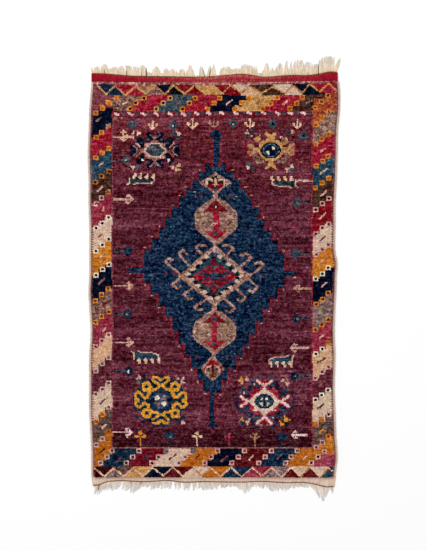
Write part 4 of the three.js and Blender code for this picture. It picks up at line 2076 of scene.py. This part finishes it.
class RUG_OT_fringes(bpy.types.Operator):
    """Lays out the loose warps of both ends, clump by clump"""

    bl_idname = "rug.fringes"
    bl_label = "Warp fringes"

    def execute(self, context):
        material = wool_material(
            "warp_wool", roughness=0.85, sheen=0.4, fibre_scale=(1500, 300, 1500), bump=0.4
        )
        for end in (FAR_END, NEAR_END):
            random = np.random.default_rng(SEED + 31 + end.sign)
            rows = self.rows(end, context.scene.rug_sizes.yarn_pitch, random)
            self.yarns(end, rows, context.scene.rug_colours, random, material)
        return {"FINISHED"}

    def rows(self, end, pitch, random):
        """The root, reach and lean of every yarn, and 1 where it is brown. Half as many lie underneath."""
        rows = []
        fingers = end.wild * random.normal(size=(FINGERS, 2))
        for clump in end.clumps:
            width = clump["end"] - clump["start"]
            upper = round(width / pitch)
            lower = upper // 2
            for index in range(upper + lower):
                place = (index + 0.5) / upper if index < upper else (index - upper + 0.5) / lower
                offset = 2 * place - 1
                root = clump["start"] + place * width
                finger = round(root / FINGER_WIDTH)
                reach = LONGER_THAN_SEEN * clump["reach"] * (1 - clump["fall"] * offset**2)
                reach *= min(1 + end.wild * random.normal() / 2 + fingers[finger, 0], LONGEST)
                lean = clump["lean"] - clump["gather"] * offset * width / 2
                if index < upper:
                    lean += FINGER_STRAYS * fingers[finger, 1] - end.fingered * (root - finger * FINGER_WIDTH)
                else:
                    reach *= random.uniform(*REACH_UNDERNEATH)
                lean = lean * reach / clump["reach"] + TIP_STRAYS * random.normal()
                rows.append((root, reach, lean, 0))
        for stray in BROWN_STRAYS:
            if stray["end"] == end.name:
                rows.append((stray["across"], stray["reach"], stray["lean"], 1))
        return np.array(rows)

    def yarns(self, end, rows, colours, random, material):
        """One piece of all the yarns of a fringe, each a thin tube that tapers, sways and leans."""
        each = (len(rows), 1, 1)
        share = np.linspace(0, 1, YARN_RINGS)[None, :, None]
        angle = (turn_round(YARN_AROUND) + math.pi / 4)[None, None, :]
        root, reach, lean, brown = (rows[:, i][:, None, None] for i in range(4))
        start = end.rim(root) + end.sign * PAST_RIM
        tip = end.rim(root) + end.sign * reach
        radius = (YARN_RADIUS - YARN_THINS * share**3) * (1 + YARN_SCATTER * random.normal(size=each))
        sway = SWAY * np.sin(share * random.uniform(3, 7, each) + random.uniform(0, 6, each))
        lift = random.uniform(0, LIFT, each) * np.sin(np.pi * share) ** 0.7 + STRAY_LIFT * brown
        x = root + lean * share**YARN_BEND + sway * share + radius * np.cos(angle)
        y = start + (tip - start) * share + 0 * angle
        z = (radius * (1 + np.sin(angle)) + lift) * MM
        points = in_frame(x, y, z).reshape(-1, 3)
        starts = np.arange(len(rows))[:, None, None] * YARN_RINGS * YARN_AROUND
        faces = (tube_faces(YARN_RINGS, YARN_AROUND) + starts).reshape(-1, 4)
        if end.sign < 0:
            faces = faces[:, ::-1]
        piece = mesh_from_arrays(f"fringe_yarns_{end.name}", points, faces, material)
        tone = np.exp(YARN_TONE * random.normal(size=each))
        warm = to_linear(end.root_tone) / to_linear(BARE_WARP)
        cool = to_linear(end.tip_tone) / to_linear(BARE_WARP)
        root_share = np.clip(1 - share * reach / ROOT_REACH, 0, 1) * random.uniform(0.5, 1.0, each)
        shades = np.array(colours.warp) * (cool + (warm - cool) * root_share[..., None])
        shades = np.where(brown[..., None] > 0, np.array(colours.twine), shades)
        paint(piece, (shades * tone[..., None] * np.ones((1, 1, YARN_AROUND, 1))).reshape(-1, 3))
        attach(piece, "root")
        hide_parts(f"fringe_{end.name}")


class RUG_OT_declare(bpy.types.Operator):
    bl_idname = "rug.declare"
    bl_label = "Declare the sheet"

    def execute(self, context):
        return {"FINISHED"}


class RUG_PT_panel(bpy.types.Panel):
    """Lists the steps that build the rug"""

    bl_label = "Yastik rug"
    bl_idname = "RUG_PT_panel"
    bl_space_type = "VIEW_3D"
    bl_region_type = "UI"
    bl_category = "Rug"

    def draw(self, context):
        for group in (context.scene.rug_sizes, context.scene.rug_colours):
            for name in group.__annotations__:
                self.layout.prop(group, name)
        for step in STEPS:
            self.layout.operator(step.bl_idname)


STEPS = (
    RUG_OT_stage,
    RUG_OT_cloth,
    RUG_OT_pile,
    RUG_OT_selvedges,
    RUG_OT_woven_ends,
    RUG_OT_cords,
    RUG_OT_fringes,
    RUG_OT_declare,
)
CLASSES = (RugSizes, RugColours, *STEPS, RUG_PT_panel)


def register():
    for cls in CLASSES:
        bpy.utils.register_class(cls)
    bpy.types.Scene.rug_sizes = bpy.props.PointerProperty(type=RugSizes)
    bpy.types.Scene.rug_colours = bpy.props.PointerProperty(type=RugColours)


def unregister():
    del bpy.types.Scene.rug_colours
    del bpy.types.Scene.rug_sizes
    for cls in reversed(CLASSES):
        bpy.utils.unregister_class(cls)


def main():
    register()
    bpy.ops.rug.stage()
    bpy.ops.rug.cloth()
    bpy.ops.rug.pile()
    bpy.ops.rug.selvedges()
    bpy.ops.rug.woven_ends()
    bpy.ops.rug.cords()
    bpy.ops.rug.fringes()
    bpy.ops.rug.declare()
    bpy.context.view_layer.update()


if __name__ == "__main__":
    main()
